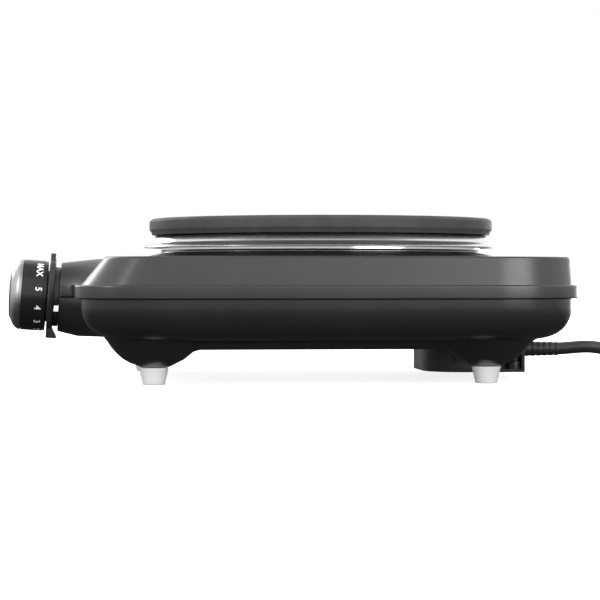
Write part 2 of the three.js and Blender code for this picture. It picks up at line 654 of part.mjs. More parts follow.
const SLEEVE_START_Y = COVER.rear - COVER.wall - 2.4;
piece('strain_relief', 'cord_rubber', solid(lathe([[0, 0], [5.4, 0], [5.4, 2.1], [4.1, 2.1], [4.1, 5],
  [3.6, SLEEVE_END_Y - SLEEVE_START_Y], [0, SLEEVE_END_Y - SLEEVE_START_Y]], 20)
  .rotateX(-Math.PI / 2).translate(0, SLEEVE_START_Y, CORD_Z)));
const INNER_SHEATH = [SHEATH_END_Y, SLEEVE_START_Y - GAP];
piece('inner_sheath', 'cord_rubber', cylinderAlongY(CORD_D / 2, INNER_SHEATH, 12, [0, CORD_Z]));

function lead(start, spread) {
  return sweep([[start, SHEATH_END_Y - 0.4, CORD_Z], [spread * 0.42, 73, 15], [spread * 0.67, 64, 19],
    [spread * 0.92, 56, 23.4], [spread, 48.4, 25]], 1.1, 6, 8);
}

piece('lead_live', 'wire_brown', lead(-2.3, -12));
piece('lead_neutral', 'wire_blue', lead(0, 0));
piece('lead_earth', 'wire_green', lead(2.3, 12));

const LINK_TO_THERMOSTAT = [
  [-12, 33.4, 25], [-16, 20, 25.4], [-20, -20, 27], [-16, -60, 30], [-8, -92, 34], [-4, -104.8, 38],
];
const LINK_TO_PLATE = [[0, 33.4, 25], [2.5, 28.4, 26.5], [8.4, 27.4, 34], [11, 35, 42], [9.5, 44, 47]];
piece('link_to_thermostat', 'wire_brown', sweep(LINK_TO_THERMOSTAT, 1.1, 6, 14));
piece('link_to_plate', 'wire_blue', sweep(LINK_TO_PLATE, 1.1, 6, 14));

// ---------------------------------------------------------------- mains cord, coil and plug

const CORD_ROUTE = [
  [0, SLEEVE_END_Y + GAP, CORD_Z + 0.1], [0, 138, 15.1], [0, 145, 15.6], [-0.6, 152, 15.3], [-1.8, 159, 13.9],
  [-3.6, 166, 11.3], [-5.8, 173, 8.2], [-8, 180, 5.6], [-10.2, 187, 4.1], [-11.6, 192.8, 3.65],
];
piece('mains_cord', 'cord_rubber', sweep(CORD_ROUTE, CORD_D / 2, 8, 26));
piece('cord_coil', 'cord_rubber', lathe([[COIL.inner, COIL.bottom], [COIL.outer, COIL.bottom],
  [COIL.outer, COIL.top], [COIL.inner, COIL.top]], ROUND.medium).translate(COIL.x, COIL.y, 0));

// The plug lies on its round front with its tail held up by the last turn of the coil.
const COIL_EXIT = 30 * DEG; // where the last turn leaves the coil, from its +X side
const PLUG_HEADING = COIL_EXIT - 90 * DEG;
const PLUG_RISE = 13.9 * DEG;
const PLUG_AFTER = 27;
const PLUG_AT = [
  COIL.x + COIL.turn * Math.cos(COIL_EXIT) + PLUG_AFTER * Math.cos(PLUG_HEADING),
  COIL.y + COIL.turn * Math.sin(COIL_EXIT) + PLUG_AFTER * Math.sin(PLUG_HEADING),
  10.3,
];
const PLUG_R = 18.4;
const PLUG_LENGTH = 46;
const PIN_R = 2.4;
const PIN_LENGTH = 19;

const plug = new THREE.Group(); // its own +Z runs from the cord to the pins
const plugAxis = new THREE.Vector3(Math.cos(PLUG_HEADING) * Math.cos(PLUG_RISE),
  Math.sin(PLUG_HEADING) * Math.cos(PLUG_RISE), Math.sin(PLUG_RISE));
const plugAcross = new THREE.Vector3(-Math.sin(PLUG_HEADING), Math.cos(PLUG_HEADING), 0);
const plugUp = new THREE.Vector3().crossVectors(plugAxis, plugAcross);
plug.quaternion.setFromRotationMatrix(new THREE.Matrix4().makeBasis(plugAcross, plugUp, plugAxis));
plug.position.set(...PLUG_AT);
object.add(plug);

function plugBody() {
  const body = solid(lathe([[0, 0], [4.4, 0], [5.4, 11], [8.6, 17], [11.6, 24], [15.6, 28.4], [17.6, 30.6],
    [PLUG_R, 32.4], [PLUG_R, PLUG_LENGTH - 0.8], [PLUG_R - 0.8, PLUG_LENGTH],
    [0, PLUG_LENGTH]], ROUND.medium));
  const earthHole = solid(cylinder(2.6, [PLUG_LENGTH - 14, PLUG_LENGTH + 1], 12, [0, -10]));
  const grooves = [-1, 1].map((side) => solid(
    box([-3, 3], side > 0 ? [PLUG_R - 1.6, PLUG_R + 1] : [-PLUG_R - 1, -PLUG_R + 1.6], [36, PLUG_LENGTH + 1]),
  ));
  return body.subtract(earthHole).subtract(grooves[0]).subtract(grooves[1]);
}

piece('plug_body', 'cord_rubber', plugBody(), plug);
for (const [side, x] of [['left', -9.5], ['right', 9.5]]) {
  const [face, tip] = [PLUG_LENGTH + GAP, PLUG_LENGTH + PIN_LENGTH];
  const pin = lathe([[0, face], [PIN_R, face], [PIN_R, tip - 1.4], [PIN_R - 1.3, tip], [0, tip]], 12);
  piece(`plug_pin_${side}`, 'chrome', pin.translate(x, 0, 0), plug);
}

// ---------------------------------------------------------------- frame

const CORD_PIECES = ['mains_cord', 'cord_coil', 'plug_body', 'plug_pin_left', 'plug_pin_right'];
object.updateMatrixWorld(true);
const bounds = new THREE.Box3();
object.traverse((node) => {
  if (node.isMesh && !CORD_PIECES.includes(node.name)) bounds.expandByObject(node, true);
});
object.position.y = -(bounds.min.y + bounds.max.y) / 2;
object.updateMatrixWorld(true);

export default object;
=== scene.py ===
"""Portable electric hot plate.

A cast-iron plate on a chromed ring, in a pressed black housing with a dial in front. Shapes are
worked out in millimetres from the vertical axis through the middle of the plate, with X across
the housing, the dial at -Y and the mains cord at +Y. They go into the row frame, in metres, when
their mesh is made.
"""

import json
import math

import bmesh
import bpy
from mathutils import Euler, Matrix, Vector


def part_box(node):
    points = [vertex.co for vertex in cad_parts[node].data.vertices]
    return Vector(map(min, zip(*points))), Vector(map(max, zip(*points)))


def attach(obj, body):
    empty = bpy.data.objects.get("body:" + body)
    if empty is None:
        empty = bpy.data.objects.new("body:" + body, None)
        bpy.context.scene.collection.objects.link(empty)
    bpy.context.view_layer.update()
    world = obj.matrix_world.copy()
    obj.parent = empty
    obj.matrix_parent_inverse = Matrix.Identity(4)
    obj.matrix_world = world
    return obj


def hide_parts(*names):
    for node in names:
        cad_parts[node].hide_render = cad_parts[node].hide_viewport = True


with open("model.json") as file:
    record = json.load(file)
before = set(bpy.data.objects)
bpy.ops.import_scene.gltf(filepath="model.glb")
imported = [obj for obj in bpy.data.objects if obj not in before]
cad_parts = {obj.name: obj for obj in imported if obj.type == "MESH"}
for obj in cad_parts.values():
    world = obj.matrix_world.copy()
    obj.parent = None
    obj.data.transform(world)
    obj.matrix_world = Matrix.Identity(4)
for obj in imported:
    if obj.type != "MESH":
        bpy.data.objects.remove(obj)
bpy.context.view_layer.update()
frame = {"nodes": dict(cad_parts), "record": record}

MM = 0.001
PLATE_LOW, PLATE_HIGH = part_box("hot_plate")
PLATE_Y = (PLATE_LOW.y + PLATE_HIGH.y) / 2
PLATE_FRAME = Matrix.Translation((0, PLATE_Y, 0)) @ Matrix.Scale(MM, 4)

# Driving dimensions, as in the CAD model.
SKIN = 1.5
GAP = 0.3
HALF_WIDTH = 118.0
REAR = 124.2
FRONT = -131.7
REAR_CORNER = 48.0
FRONT_CORNER = 35.0
PARTING_Z = 43.2
BAND_TOP_Z = 49.8
TOP_Z = 64.0
CEILING_Z = TOP_Z - SKIN
COLLAR_Z = 66.7
COLLAR_FOOT_R = 94.5
OPENING_R = 82.0
BOWL_INSET = 3.0
BOWL_RUN = 24.0
BOWL_RUN_FRONT = 30.0
BOWL_POWER = 2.7
BOWL_Z = 22.3
PLATEAU_HALF_WIDTH = 84.0
PLATEAU_REAR = 82.0
PLATEAU_FRONT = -97.5
PLATEAU_CORNER = 26.0
PLATEAU_Z = 17.5
DOME_Z = 9.0
DOME_REACH = 28.4
DOME_BLEND = 1.8
FEET = {
    "front_left": (-76.0, -92.3),
    "front_right": (76.0, -92.3),
    "rear_left": (-76.0, 76.4),
    "rear_right": (76.0, 76.4),
}
DIAL_Y = -140.5
DIAL_Z = 43.2
DIAL_TILT = 4.0
NOSE_R = 18.3
NOSE_FLARE = 0.18
NOSE_LENGTH = 38.0
NOSE_WIDEN = 0.55
NOSE_WIDEN_AT = 22.0
PLATE_R = 92.4
PLATE_TOP_Z = 84.9
KNOB_R = 18.75
KNOB_BACK = 6.9
KNOB_FRONT = 19.5
INLAY_R = 12.4
BEZEL_R = 20.3
BEZEL_BACK = 2.9
BEZEL_FRONT = 5.9
BEZEL_BOSS = 8.4
BUSH_HOLE_R = 4.7
COVER_HALF_WIDTH = 36.0
COVER_FRONT = 53.4
COVER_REAR = 105.3
COVER_CORNER = 26.0
COVER_WALL = 2.0
COVER_NICHE = 7.0
COVER_NICHE_FRONT = 66.5
COVER_BOTTOM = 3.5
CORD_R = 3.4
CORD_Z = 14.6
SLEEVE_END_Y = 131.0

DIAL_FRAME = (
    PLATE_FRAME
    @ Matrix.Translation((0, DIAL_Y, DIAL_Z))
    @ Matrix.Rotation(math.radians(90 - DIAL_TILT), 4, "X")
)
# The same axes in metres, for a piece that keeps them as its own.
DIAL_PLACE = (
    Matrix.Translation(DIAL_FRAME.translation) @ DIAL_FRAME.to_3x3().normalized().to_4x4()
)
# Turns a lathed shape's axis from Z to Y, the way that the cord leaves.
ALONG_CORD = Matrix.Rotation(math.radians(-90), 4, "X")


def new_object(name, data):
    """An object in the scene, at the origin."""
    obj = bpy.data.objects.new(name, data)
    bpy.context.scene.collection.objects.link(obj)
    return obj


# ------------------------------------------------------------------ camera

# The camera stands level with the upper housing, a little in front of square on to its right side.
# Distances are in millimetres, the yaw is given by its sine and the pitch in degrees.
CAMERA_DISTANCE = 1100.0
CAMERA_ASIDE = 11.12
CAMERA_YAW_SIN = 0.1
CAMERA_HEIGHT = 54.54
CAMERA_PITCH = 0.685
FOCAL_WIDTHS = 3.383  # focal length over the width of the picture
SENSOR_WIDTH = 36.0


def place_camera():
    yaw_cos = math.sqrt(1 - CAMERA_YAW_SIN**2)
    x = CAMERA_DISTANCE * yaw_cos - CAMERA_ASIDE * CAMERA_YAW_SIN
    y = -CAMERA_DISTANCE * CAMERA_YAW_SIN - CAMERA_ASIDE * yaw_cos
    data = bpy.data.cameras.new("camera")
    data.sensor_width = SENSOR_WIDTH
    data.lens = SENSOR_WIDTH * FOCAL_WIDTHS
    data.clip_start = 0.01
    data.clip_end = 50.0
    camera = new_object("camera", data)
    heading = math.atan2(CAMERA_YAW_SIN, -yaw_cos)
    camera.rotation_euler = Euler((math.radians(90 - CAMERA_PITCH), 0, heading - math.pi / 2))
    camera.location = PLATE_FRAME @ Vector((x, y, CAMERA_HEIGHT))
    bpy.context.scene.camera = camera


place_camera()


# ------------------------------------------------------------------ mesh helpers


EDGE_SHARE = 0.46  # the most of an edge that the rounding at one of its ends may take


def fillet(points, radii, steps=4, closed=False):
    """The line through the points, in two or three dimensions, with rounded corners.

    radii is one radius for all corners or a list with one for each.
    """
    out = []
    count = len(points)
    for i, point in enumerate(points):
        p = Vector(point)
        own = radii[i] if isinstance(radii, (list, tuple)) else radii
        before = Vector(points[i - 1]) - p
        after = Vector(points[(i + 1) % count]) - p
        is_end = not closed and i in (0, count - 1)
        if is_end or own <= 0 or before.angle(after) > math.pi - 0.02:
            out.append(tuple(p))
            continue
        reach = own / math.tan(before.angle(after) / 2)
        reach = min(reach, EDGE_SHARE * before.length, EDGE_SHARE * after.length)
        start = p + before.normalized() * reach
        end = p + after.normalized() * reach
        for k in range(steps + 1):
            t = k / steps
            out.append(tuple(start * (1 - t) ** 2 + p * 2 * t * (1 - t) + end * t**2))
    return out


def lathe(profile, segments=128):
    """Vertices and faces turned about Z.

    The profile is a list of (radius, height), which closes on itself or on the axis.
    """
    verts, rings, faces = [], [], []
    for r, z in profile:
        start = len(verts)
        if r < 1e-6:
            verts.append((0.0, 0.0, z))
            rings.append([start])
            continue
        for i in range(segments):
            angle = 2 * math.pi * i / segments
            verts.append((r * math.cos(angle), r * math.sin(angle), z))
        rings.append(list(range(start, start + segments)))
    pairs = list(zip(rings, rings[1:]))
    if len(rings[0]) > 1 and len(rings[-1]) > 1:
        pairs.append((rings[-1], rings[0]))
    for a, b in pairs:
        for i in range(segments):
            j = (i + 1) % segments
            face = [a[i % len(a)], a[j % len(a)], b[j % len(b)], b[i % len(b)]]
            face = list(dict.fromkeys(face))
            if len(face) > 2:
                faces.append(face)
    return verts, faces


def loft(rings):
    """Vertices and faces through closed rings of as many points each, capped at both ends."""
    count = len(rings[0])
    verts = [p for ring in rings for p in ring]
    faces = [list(range(count)), list(range(len(verts) - count, len(verts)))]
    for level in range(len(rings) - 1):
        a = level * count
        for i in range(count):
            j = (i + 1) % count
            faces.append([a + i, a + j, a + count + j, a + count + i])
    return verts, faces


def prism(outline, low, high, bevel=0.0, steps=3):
    """A plate with the outline (x, y) from one height to another, with its two edges rounded."""
    middle = sum((Vector(p) for p in outline), Vector((0, 0))) / len(outline)
    levels = [(low, 0.0), (high, 0.0)]
    if bevel > 0:
        arc = [math.pi / 2 * k / steps for k in range(steps + 1)]
        levels = [
            (low + bevel * (1 - math.sin(a)), bevel * (1 - math.cos(a)))
            for a in reversed(arc)
        ]
        levels += [(high - bevel * (1 - math.sin(a)), bevel * (1 - math.cos(a))) for a in arc]
    rings = []
    for z, inset in levels:
        ring = []
        for p in outline:
            away = Vector(p) - middle
            q = middle + away * (1 - inset / max(away.length, inset + 1e-6))
            ring.append((q.x, q.y, z))
        rings.append(ring)
    return loft(rings)


def rounded_box(x, y, z, corner, bevel=0.3, steps=5):
    """A block between two values on each axis, with rounded upright corners and edges."""
    outline = fillet(
        [(x[0], y[0]), (x[1], y[0]), (x[1], y[1]), (x[0], y[1])], corner, steps, closed=True
    )
    return prism(outline, z[0], z[1], bevel)


def make_mesh(name, shape, space=PLATE_FRAME):
    """An object from vertices and faces in millimetres, which space carries into the row frame."""
    verts, faces = shape
    mesh = bpy.data.meshes.new(name)
    mesh.from_pydata([tuple(space @ Vector(v)) for v in verts], [], faces)
    work = bmesh.new()
    work.from_mesh(mesh)
    bmesh.ops.remove_doubles(work, verts=work.verts, dist=1e-6)
    bmesh.ops.recalc_face_normals(work, faces=work.faces)
    work.to_mesh(mesh)
    work.free()
    return new_object(name, mesh)


def apply_modifiers(obj):
    bpy.context.view_layer.update()
    graph = bpy.context.evaluated_depsgraph_get()
    mesh = bpy.data.meshes.new_from_object(obj.evaluated_get(graph))
    obj.modifiers.clear()
    obj.data = mesh


def boolean(obj, tool, operation="DIFFERENCE"):
    """obj cut by, or joined to, tool, which is then removed."""
    modifier = obj.modifiers.new("boolean", "BOOLEAN")
    modifier.operation = operation
    modifier.solver = "EXACT"
    modifier.object = tool
    apply_modifiers(obj)
    bpy.data.objects.remove(tool)
    return obj


def shade(obj, angle=35):
    obj.data.shade_smooth()
    obj.data.set_sharp_from_angle(angle=math.radians(angle))
    return obj


def finish_piece(obj, material, body="housing", stands_for=(), angle=35):
    """Shade a new piece, give it its finish, and let it ride in place of its CAD nodes."""
    if obj.type == "MESH":
        shade(obj, angle)
    obj.data.materials.clear()
    obj.data.materials.append(material)
    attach(obj, body)
    if stands_for:
        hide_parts(*stands_for)
    return obj


# ------------------------------------------------------------------ materials


def node(tree, kind, **values):
    made = tree.nodes.new(kind)
    for key, value in values.items():
        setattr(made, key, value)
    return made


def noise(tree, coords, scale, detail=2.0, stretch=None):
    """A noise value from 0 to 1. stretch scales the axes apart, for a grain that runs one way."""
    source = coords
    if stretch:
        mapping = node(tree, "ShaderNodeMapping")
        mapping.inputs["Scale"].default_value = stretch
        tree.links.new(coords, mapping.inputs["Vector"])
        source = mapping.outputs["Vector"]
    made = node(tree, "ShaderNodeTexNoise")
    made.inputs["Scale"].default_value = scale
    made.inputs["Detail"].default_value = detail
    tree.links.new(source, made.inputs["Vector"])
    return made.outputs["Fac"]


# Noise seldom leaves this range.
MIDDLE_LOW = 0.3
MIDDLE_HIGH = 0.7


def ramp_between(tree, value, low, high):
    """low to high as the value goes through its middle range."""
    made = node(tree, "ShaderNodeMapRange")
    made.inputs["From Min"].default_value = MIDDLE_LOW
    made.inputs["From Max"].default_value = MIDDLE_HIGH
    made.inputs["To Min"].default_value = low
    made.inputs["To Max"].default_value = high
    tree.links.new(value, made.inputs["Value"])
    return made.outputs["Result"]


def colour_between(tree, value, first, second):
    """The first colour to the second as the value goes through its middle range."""
    made = node(tree, "ShaderNodeValToRGB")
    made.color_ramp.elements[0].position = MIDDLE_LOW
    made.color_ramp.elements[0].color = (*first, 1)
    made.color_ramp.elements[1].position = MIDDLE_HIGH
    made.color_ramp.elements[1].color = (*second, 1)
    tree.links.new(value, made.inputs["Fac"])
    return made.outputs["Color"]


def rings_about(tree, coords, spacing):
    """Turned grooves: a wave of the distance from the piece's own Z axis, spacing in metres."""
    parts = node(tree, "ShaderNodeSeparateXYZ")
    tree.links.new(coords, parts.inputs["Vector"])
    flat = node(tree, "ShaderNodeCombineXYZ")
    tree.links.new(parts.outputs["X"], flat.inputs["X"])
    tree.links.new(parts.outputs["Y"], flat.inputs["Y"])
    length = node(tree, "ShaderNodeVectorMath", operation="LENGTH")
    tree.links.new(flat.outputs["Vector"], length.inputs[0])
    turns = node(tree, "ShaderNodeMath", operation="MULTIPLY")
    turns.inputs[1].default_value = 2 * math.pi / spacing
    tree.links.new(length.outputs["Value"], turns.inputs[0])
    wave = node(tree, "ShaderNodeMath", operation="SINE")
    tree.links.new(turns.outputs["Value"], wave.inputs[0])
    return wave.outputs["Value"]


def bump(tree, heights, shader, distance=0.0001):
    """Heights, as (value, strength), stacked into the shader's normal."""
    normal = None
    for value, strength in heights:
        made = node(tree, "ShaderNodeBump")
        made.inputs["Strength"].default_value = strength
        made.inputs["Distance"].default_value = distance
        tree.links.new(value, made.inputs["Height"])
        if normal:
            tree.links.new(normal, made.inputs["Normal"])
        normal = made.outputs["Normal"]
    tree.links.new(normal, shader.inputs["Normal"])


def material(name, colours, roughness, metallic=0.0, patch=40, grain=900, grain_strength=0.15,
             specular=0.5, rings=0.0, rings_strength=0.0, stretch=None):
    """A finish whose colour and roughness wander between two values, with a fine grain.

    patch and grain are the scales of the two noises, and rings is the spacing of turned grooves
    in metres.
    """
    made = bpy.data.materials.new(name)
    made.use_nodes = True
    tree = made.node_tree
    shader = tree.nodes["Principled BSDF"]
    coords = node(tree, "ShaderNodeTexCoord").outputs["Object"]
    wander = noise(tree, coords, patch, 4.0, stretch)
    tree.links.new(colour_between(tree, wander, *colours), shader.inputs["Base Color"])
    fine = noise(tree, coords, patch * 5, 3.0, stretch)
    tree.links.new(ramp_between(tree, fine, *roughness), shader.inputs["Roughness"])
    heights = [(noise(tree, coords, grain, 2.0, stretch), grain_strength)]
    if rings:
        heights.append((rings_about(tree, coords, rings), rings_strength))
    bump(tree, heights, shader)
    shader.inputs["Metallic"].default_value = metallic
    shader.inputs["Specular IOR Level"].default_value = specular
    made.diffuse_color = (*colours[0], 1)
    return made


BLACK_PAINT = material(
    "black_paint", ((0.012, 0.012, 0.0125), (0.016, 0.016, 0.0165)), (0.27, 0.32), patch=30,
    grain=1400, grain_strength=0.02, specular=0.9,
)
CAST_IRON = material(
    "cast_iron", ((0.040, 0.040, 0.041), (0.055, 0.054, 0.054)), (0.50, 0.62), metallic=0.15,
    patch=90, grain=2600, grain_strength=0.35, rings=0.0011, rings_strength=0.25,
)
CHROME = material("chrome", ((0.84, 0.84, 0.85), (0.90, 0.90, 0.91)), (0.13, 0.19), metallic=1.0,
                  patch=60, grain=1200, grain_strength=0.02)
CAP_METAL = material(
    "satin_metal", ((0.50, 0.50, 0.51), (0.60, 0.60, 0.61)), (0.32, 0.40), metallic=1.0, patch=90,
    grain=2500, grain_strength=0.05, rings=0.0003, rings_strength=0.08,
)
GLOSS_BLACK = material(
    "gloss_black_plastic", ((0.010, 0.010, 0.011), (0.016, 0.016, 0.017)), (0.16, 0.24), patch=60,
    grain=1800, grain_strength=0.04,
)
SATIN_BLACK = material(
    "satin_black_plastic", ((0.016, 0.016, 0.017), (0.024, 0.024, 0.025)), (0.32, 0.42), patch=60,
    grain=2600, grain_strength=0.12,
)
FOOT_RUBBER = material("foot_rubber", ((0.82, 0.82, 0.815), (0.87, 0.87, 0.865)), (0.5, 0.62),
                       patch=120, grain=2200, grain_strength=0.12)
CORD_RUBBER = material("cord_rubber", ((0.020, 0.020, 0.021), (0.034, 0.034, 0.035)), (0.38, 0.5),
                       patch=150, grain=2600, grain_strength=0.15)
STEEL = material("steel", ((0.44, 0.45, 0.46), (0.60, 0.61, 0.62)), (0.28, 0.42), metallic=1.0,
                 patch=140, grain=1800, grain_strength=0.1, stretch=(1, 6, 1))
BRASS = material("brass", ((0.62, 0.47, 0.22), (0.75, 0.60, 0.31)), (0.25, 0.4), metallic=1.0,
                 patch=150, grain=2200, grain_strength=0.08)
CERAMIC = material(
    "ceramic", ((0.78, 0.75, 0.68), (0.88, 0.86, 0.79)), (0.45, 0.6), patch=160, grain=2600,
    grain_strength=0.15,
)
HEATER = material(
    "heater_sheath", ((0.16, 0.13, 0.11), (0.32, 0.28, 0.25)), (0.5, 0.7), metallic=0.6, patch=120,
    grain=2200, grain_strength=0.2,
)
BOARD = material(
    "mineral_board", ((0.62, 0.58, 0.49), (0.76, 0.72, 0.62)), (0.75, 0.9), patch=220, grain=2600,
    grain_strength=0.35,
)
ALUMINIUM = material(
    "aluminium", ((0.62, 0.63, 0.64), (0.74, 0.75, 0.76)), (0.3, 0.42), metallic=1.0, patch=80,
    grain=1800, grain_strength=0.08, stretch=(1, 8, 1),
)
WIRE_BROWN = material(
    "wire_brown", ((0.16, 0.07, 0.035), (0.24, 0.11, 0.06)), (0.4, 0.55), patch=200, grain=2600
)
WIRE_BLUE = material(
    "wire_blue", ((0.04, 0.11, 0.36), (0.07, 0.17, 0.46)), (0.4, 0.55), patch=200, grain=2600
)
WIRE_GREEN = material(
    "wire_green", ((0.10, 0.32, 0.08), (0.55, 0.60, 0.10)), (0.4, 0.55), patch=120, grain=2600
)
SCALE_PRINT = material(
    "scale_print", ((0.90, 0.90, 0.89), (0.95, 0.95, 0.94)), (0.5, 0.65), patch=300, grain=3000
)

# Finishes of the CAD nodes that stay, by the record's slots.
SLOT_FINISH = {
    "black_paint": BLACK_PAINT,
    "cast_iron": CAST_IRON,
    "chrome": CHROME,
    "black_plastic": SATIN_BLACK,
    "foot_rubber": FOOT_RUBBER,
    "steel": STEEL,
    "heater": HEATER,
    "brass": BRASS,
    "ceramic": CERAMIC,
    "insulation": BOARD,
    "aluminium": ALUMINIUM,
    "cord_rubber": CORD_RUBBER,
    "wire_brown": WIRE_BROWN,
    "wire_blue": WIRE_BLUE,
    "wire_green": WIRE_GREEN,
}
BLACK_STEEL = material(
    "black_steel", ((0.030, 0.030, 0.031), (0.045, 0.045, 0.046)), (0.35, 0.45), metallic=0.6,
    patch=140, grain=1800, grain_strength=0.1,
)
for part in frame["record"]["subparts"]:
    carried = frame["nodes"][part["node"]]
    finish = SLOT_FINISH[part["material_slot"]]
    if part["node"].startswith("cover_screw"):
        finish = BLACK_STEEL
    if not carried.material_slots:
        carried.data.materials.append(finish)
    for slot in carried.material_slots:
        slot.material = finish


# ------------------------------------------------------------------ mains cord, coil and plug

CORD_RUN = [
    (0, 122, 14.6), (0, 131.3, 14.7), (0, 138, 15.1), (0, 145, 15.6), (-0.6, 152, 15.3),
    (-1.8, 159, 13.9), (-3.6, 166, 11.3), (-5.8, 173, 8.2), (-8, 180, 5.6), (-10.2, 187, 4.1),
    (-11.6, 192.8, 3.65), (-12.15, 200, 3.6), (-12.4, 208, 3.6), (-12.4, 214, 3.6),
]

# The coil: its middle, the radii and heights of its turns, and the direction in which the cord
# leaves it. Directions and places round the coil are in degrees.
COIL_X = 30.0
COIL_Y = 219.0
COIL_OUTER_TURN = 42.4
COIL_INNER_TURN = 35.6
COIL_LOW_Z = 3.6
COIL_HIGH_Z = 10.3
COIL_EXIT = 30.0
COIL_TURNS = 3
WOUND = 360.0 * COIL_TURNS + (180.0 - COIL_EXIT)
# Where in the winding the cord moves to the inner turn, back out, and up on to the first layer.
MOVE_IN_AT, MOVE_OUT_AT, MOVE_OVER = 230, 920, 100
LIFT_AT, LIFT_OVER = 560, 110
TURN_STEPS = 72
RUN_STEP = 2.5
TAIL_LENGTH = 27.0
TAIL_STEPS = 9
CORD_INTO_PLUG = 4
PLUG_RISE = 13.9


def eased(t):
    t = min(max(t, 0.0), 1.0)
    return t * t * (3 - 2 * t)


def coil_point(turned):
    """The place after so many degrees of winding: two turns side by side, then two on top."""
    inward = eased((turned - MOVE_IN_AT) / MOVE_OVER) - eased((turned - MOVE_OUT_AT) / MOVE_OVER)
    lift = eased((turned - LIFT_AT) / LIFT_OVER)
    radius = COIL_OUTER_TURN + (COIL_INNER_TURN - COIL_OUTER_TURN) * inward
    z = COIL_LOW_Z + (COIL_HIGH_Z - COIL_LOW_Z) * lift
    angle = math.radians(180.0 - min(turned, WOUND))
    return (COIL_X + radius * math.cos(angle), COIL_Y + radius * math.sin(angle), z)


def smooth_run(points, step):
    """Points about step apart on a smooth curve through the given ones."""
    out = []
    ends = [
        2 * Vector(points[0]) - Vector(points[1]), *map(Vector, points),
        2 * Vector(points[-1]) - Vector(points[-2]),
    ]
    for a, b, c, d in zip(ends, ends[1:], ends[2:], ends[3:]):
        count = max(1, round((c - b).length / step))
        for k in range(count):
            t = k / count
            out.append(0.5 * ((2 * b) + (c - a) * t + (2 * a - 5 * b + 4 * c - d) * t**2
                              + (3 * b - a - 3 * c + d) * t**3))
    out.append(ends[-2])
    return out


def cord_line():
    """The whole centreline, from inside the sleeve to the plug, in millimetres."""
    line = smooth_run(CORD_RUN, RUN_STEP)
    count = round(WOUND / 360 * TURN_STEPS)
    line += [Vector(coil_point(WOUND * i / count)) for i in range(count + 1)]
    heading = math.radians(COIL_EXIT - 90)
    away = Vector((math.cos(heading), math.sin(heading), 0))
    for _ in range(TAIL_STEPS):
        line.append(line[-1] + away * (TAIL_LENGTH + CORD_INTO_PLUG) / TAIL_STEPS)
    return line


def tube(name, points, radius, closed=False, sides=4):
    """A round bar along a line in millimetres, as a curve in the row frame."""
    data = bpy.data.curves.new(name, "CURVE")
    data.dimensions = "3D"
    data.bevel_depth = radius * MM
    data.bevel_resolution = sides
    data.use_fill_caps = True
    spline = data.splines.new("POLY")
    spline.points.add(len(points) - 1)
    for spline_point, p in zip(spline.points, points):
        spline_point.co = (*(PLATE_FRAME @ Vector(p)), 1)
    spline.use_cyclic_u = closed
    spline.use_smooth = True
    return new_object(name, data)


def plug_frame():
    """The plug's own axes: Z from the cord to the pins, X from pin to pin."""
    heading = math.radians(COIL_EXIT - 90)
    rise = math.radians(PLUG_RISE)
    exit_at = math.radians(COIL_EXIT)
    place = Vector((
        COIL_X + COIL_OUTER_TURN * math.cos(exit_at) + TAIL_LENGTH * math.cos(heading),
        COIL_Y + COIL_OUTER_TURN * math.sin(exit_at) + TAIL_LENGTH * math.sin(heading),
        COIL_HIGH_Z,
    ))
    axis = Vector(
        (math.cos(heading) * math.cos(rise), math.sin(heading) * math.cos(rise), math.sin(rise))
    )
    across = Vector((-math.sin(heading), math.cos(heading), 0))
    turned = Matrix((across, axis.cross(across), axis)).transposed().to_4x4()
    return PLATE_FRAME @ Matrix.Translation(place) @ turned


def make_plug():
    space = plug_frame()
    profile = fillet(
        [
            (0, 0), (4.6, 0), (5.2, 9), (6.2, 14), (9.6, 20), (12.0, 25), (16.2, 29), (18.0, 32.4),
            (18.4, 34), (18.4, 46), (0, 46),
        ],
        1.2,
    )
    body = make_mesh("mains_plug", lathe(profile, 96), space)
    for y in (-17.9, 17.9):
        groove = rounded_box((-3, 3), (y - 1.2, y + 1.2), (35, 48), 0.6, 0)
        boolean(body, make_mesh("groove", groove, space))
    hole = lathe([(0, 31), (2.6, 31), (2.6, 48), (0, 48)], 32)
    boolean(body, make_mesh("earth_hole", hole, space @ Matrix.Translation((0, -10, 0))))
    for z in (4.5, 7.5, 10.5):
        ring = lathe([(4.3, z - 0.6), (7, z - 0.6), (7, z + 0.6), (4.3, z + 0.6)], 64)
        boolean(body, make_mesh("relief_ring", ring, space))
    finish_piece(body, CORD_RUBBER, stands_for=["plug_body"], angle=30)
    pins = []
    for side, x in (("left", -9.5), ("right", 9.5)):
        shape = lathe(fillet([(0, 45.6), (2.4, 45.6), (2.4, 65), (0, 65)], 1.3, 5), 40)
        pin = make_mesh(f"mains_pin_{side}", shape, space @ Matrix.Translation((x, 0, 0)))
        pins.append(
            finish_piece(pin, CHROME, stands_for=[f"plug_pin_{side}"], angle=40)
        )
    return [body, *pins]


def make_tie():
    """A narrow band round the coil's turns."""
    at = math.radians(-100)
    out = Vector((math.cos(at), math.sin(at), 0))
    middle = Vector((COIL_X, COIL_Y, 0)) + out * (COIL_OUTER_TURN + COIL_INNER_TURN) / 2
    corners = [(-7.2, 0.35), (7.2, 0.35), (7.2, 13.85), (-7.2, 13.85)]
    loop = fillet(corners, 3.4, 8, closed=True)
    points = [middle + out * a + Vector((0, 0, b)) for a, b in loop]
    tie = tube("cord_tie", points, 0.35, closed=True, sides=2)
    return finish_piece(tie, SATIN_BLACK)


CORD_LINE = cord_line()
cord = tube("mains_cord_run", CORD_LINE, CORD_R, sides=6)
finish_piece(cord, CORD_RUBBER, stands_for=["mains_cord", "cord_coil"])
make_plug()
make_tie()


# ------------------------------------------------------------------ housing

AROUND = 360  # points round the housing, one for each degree about the plate's axis


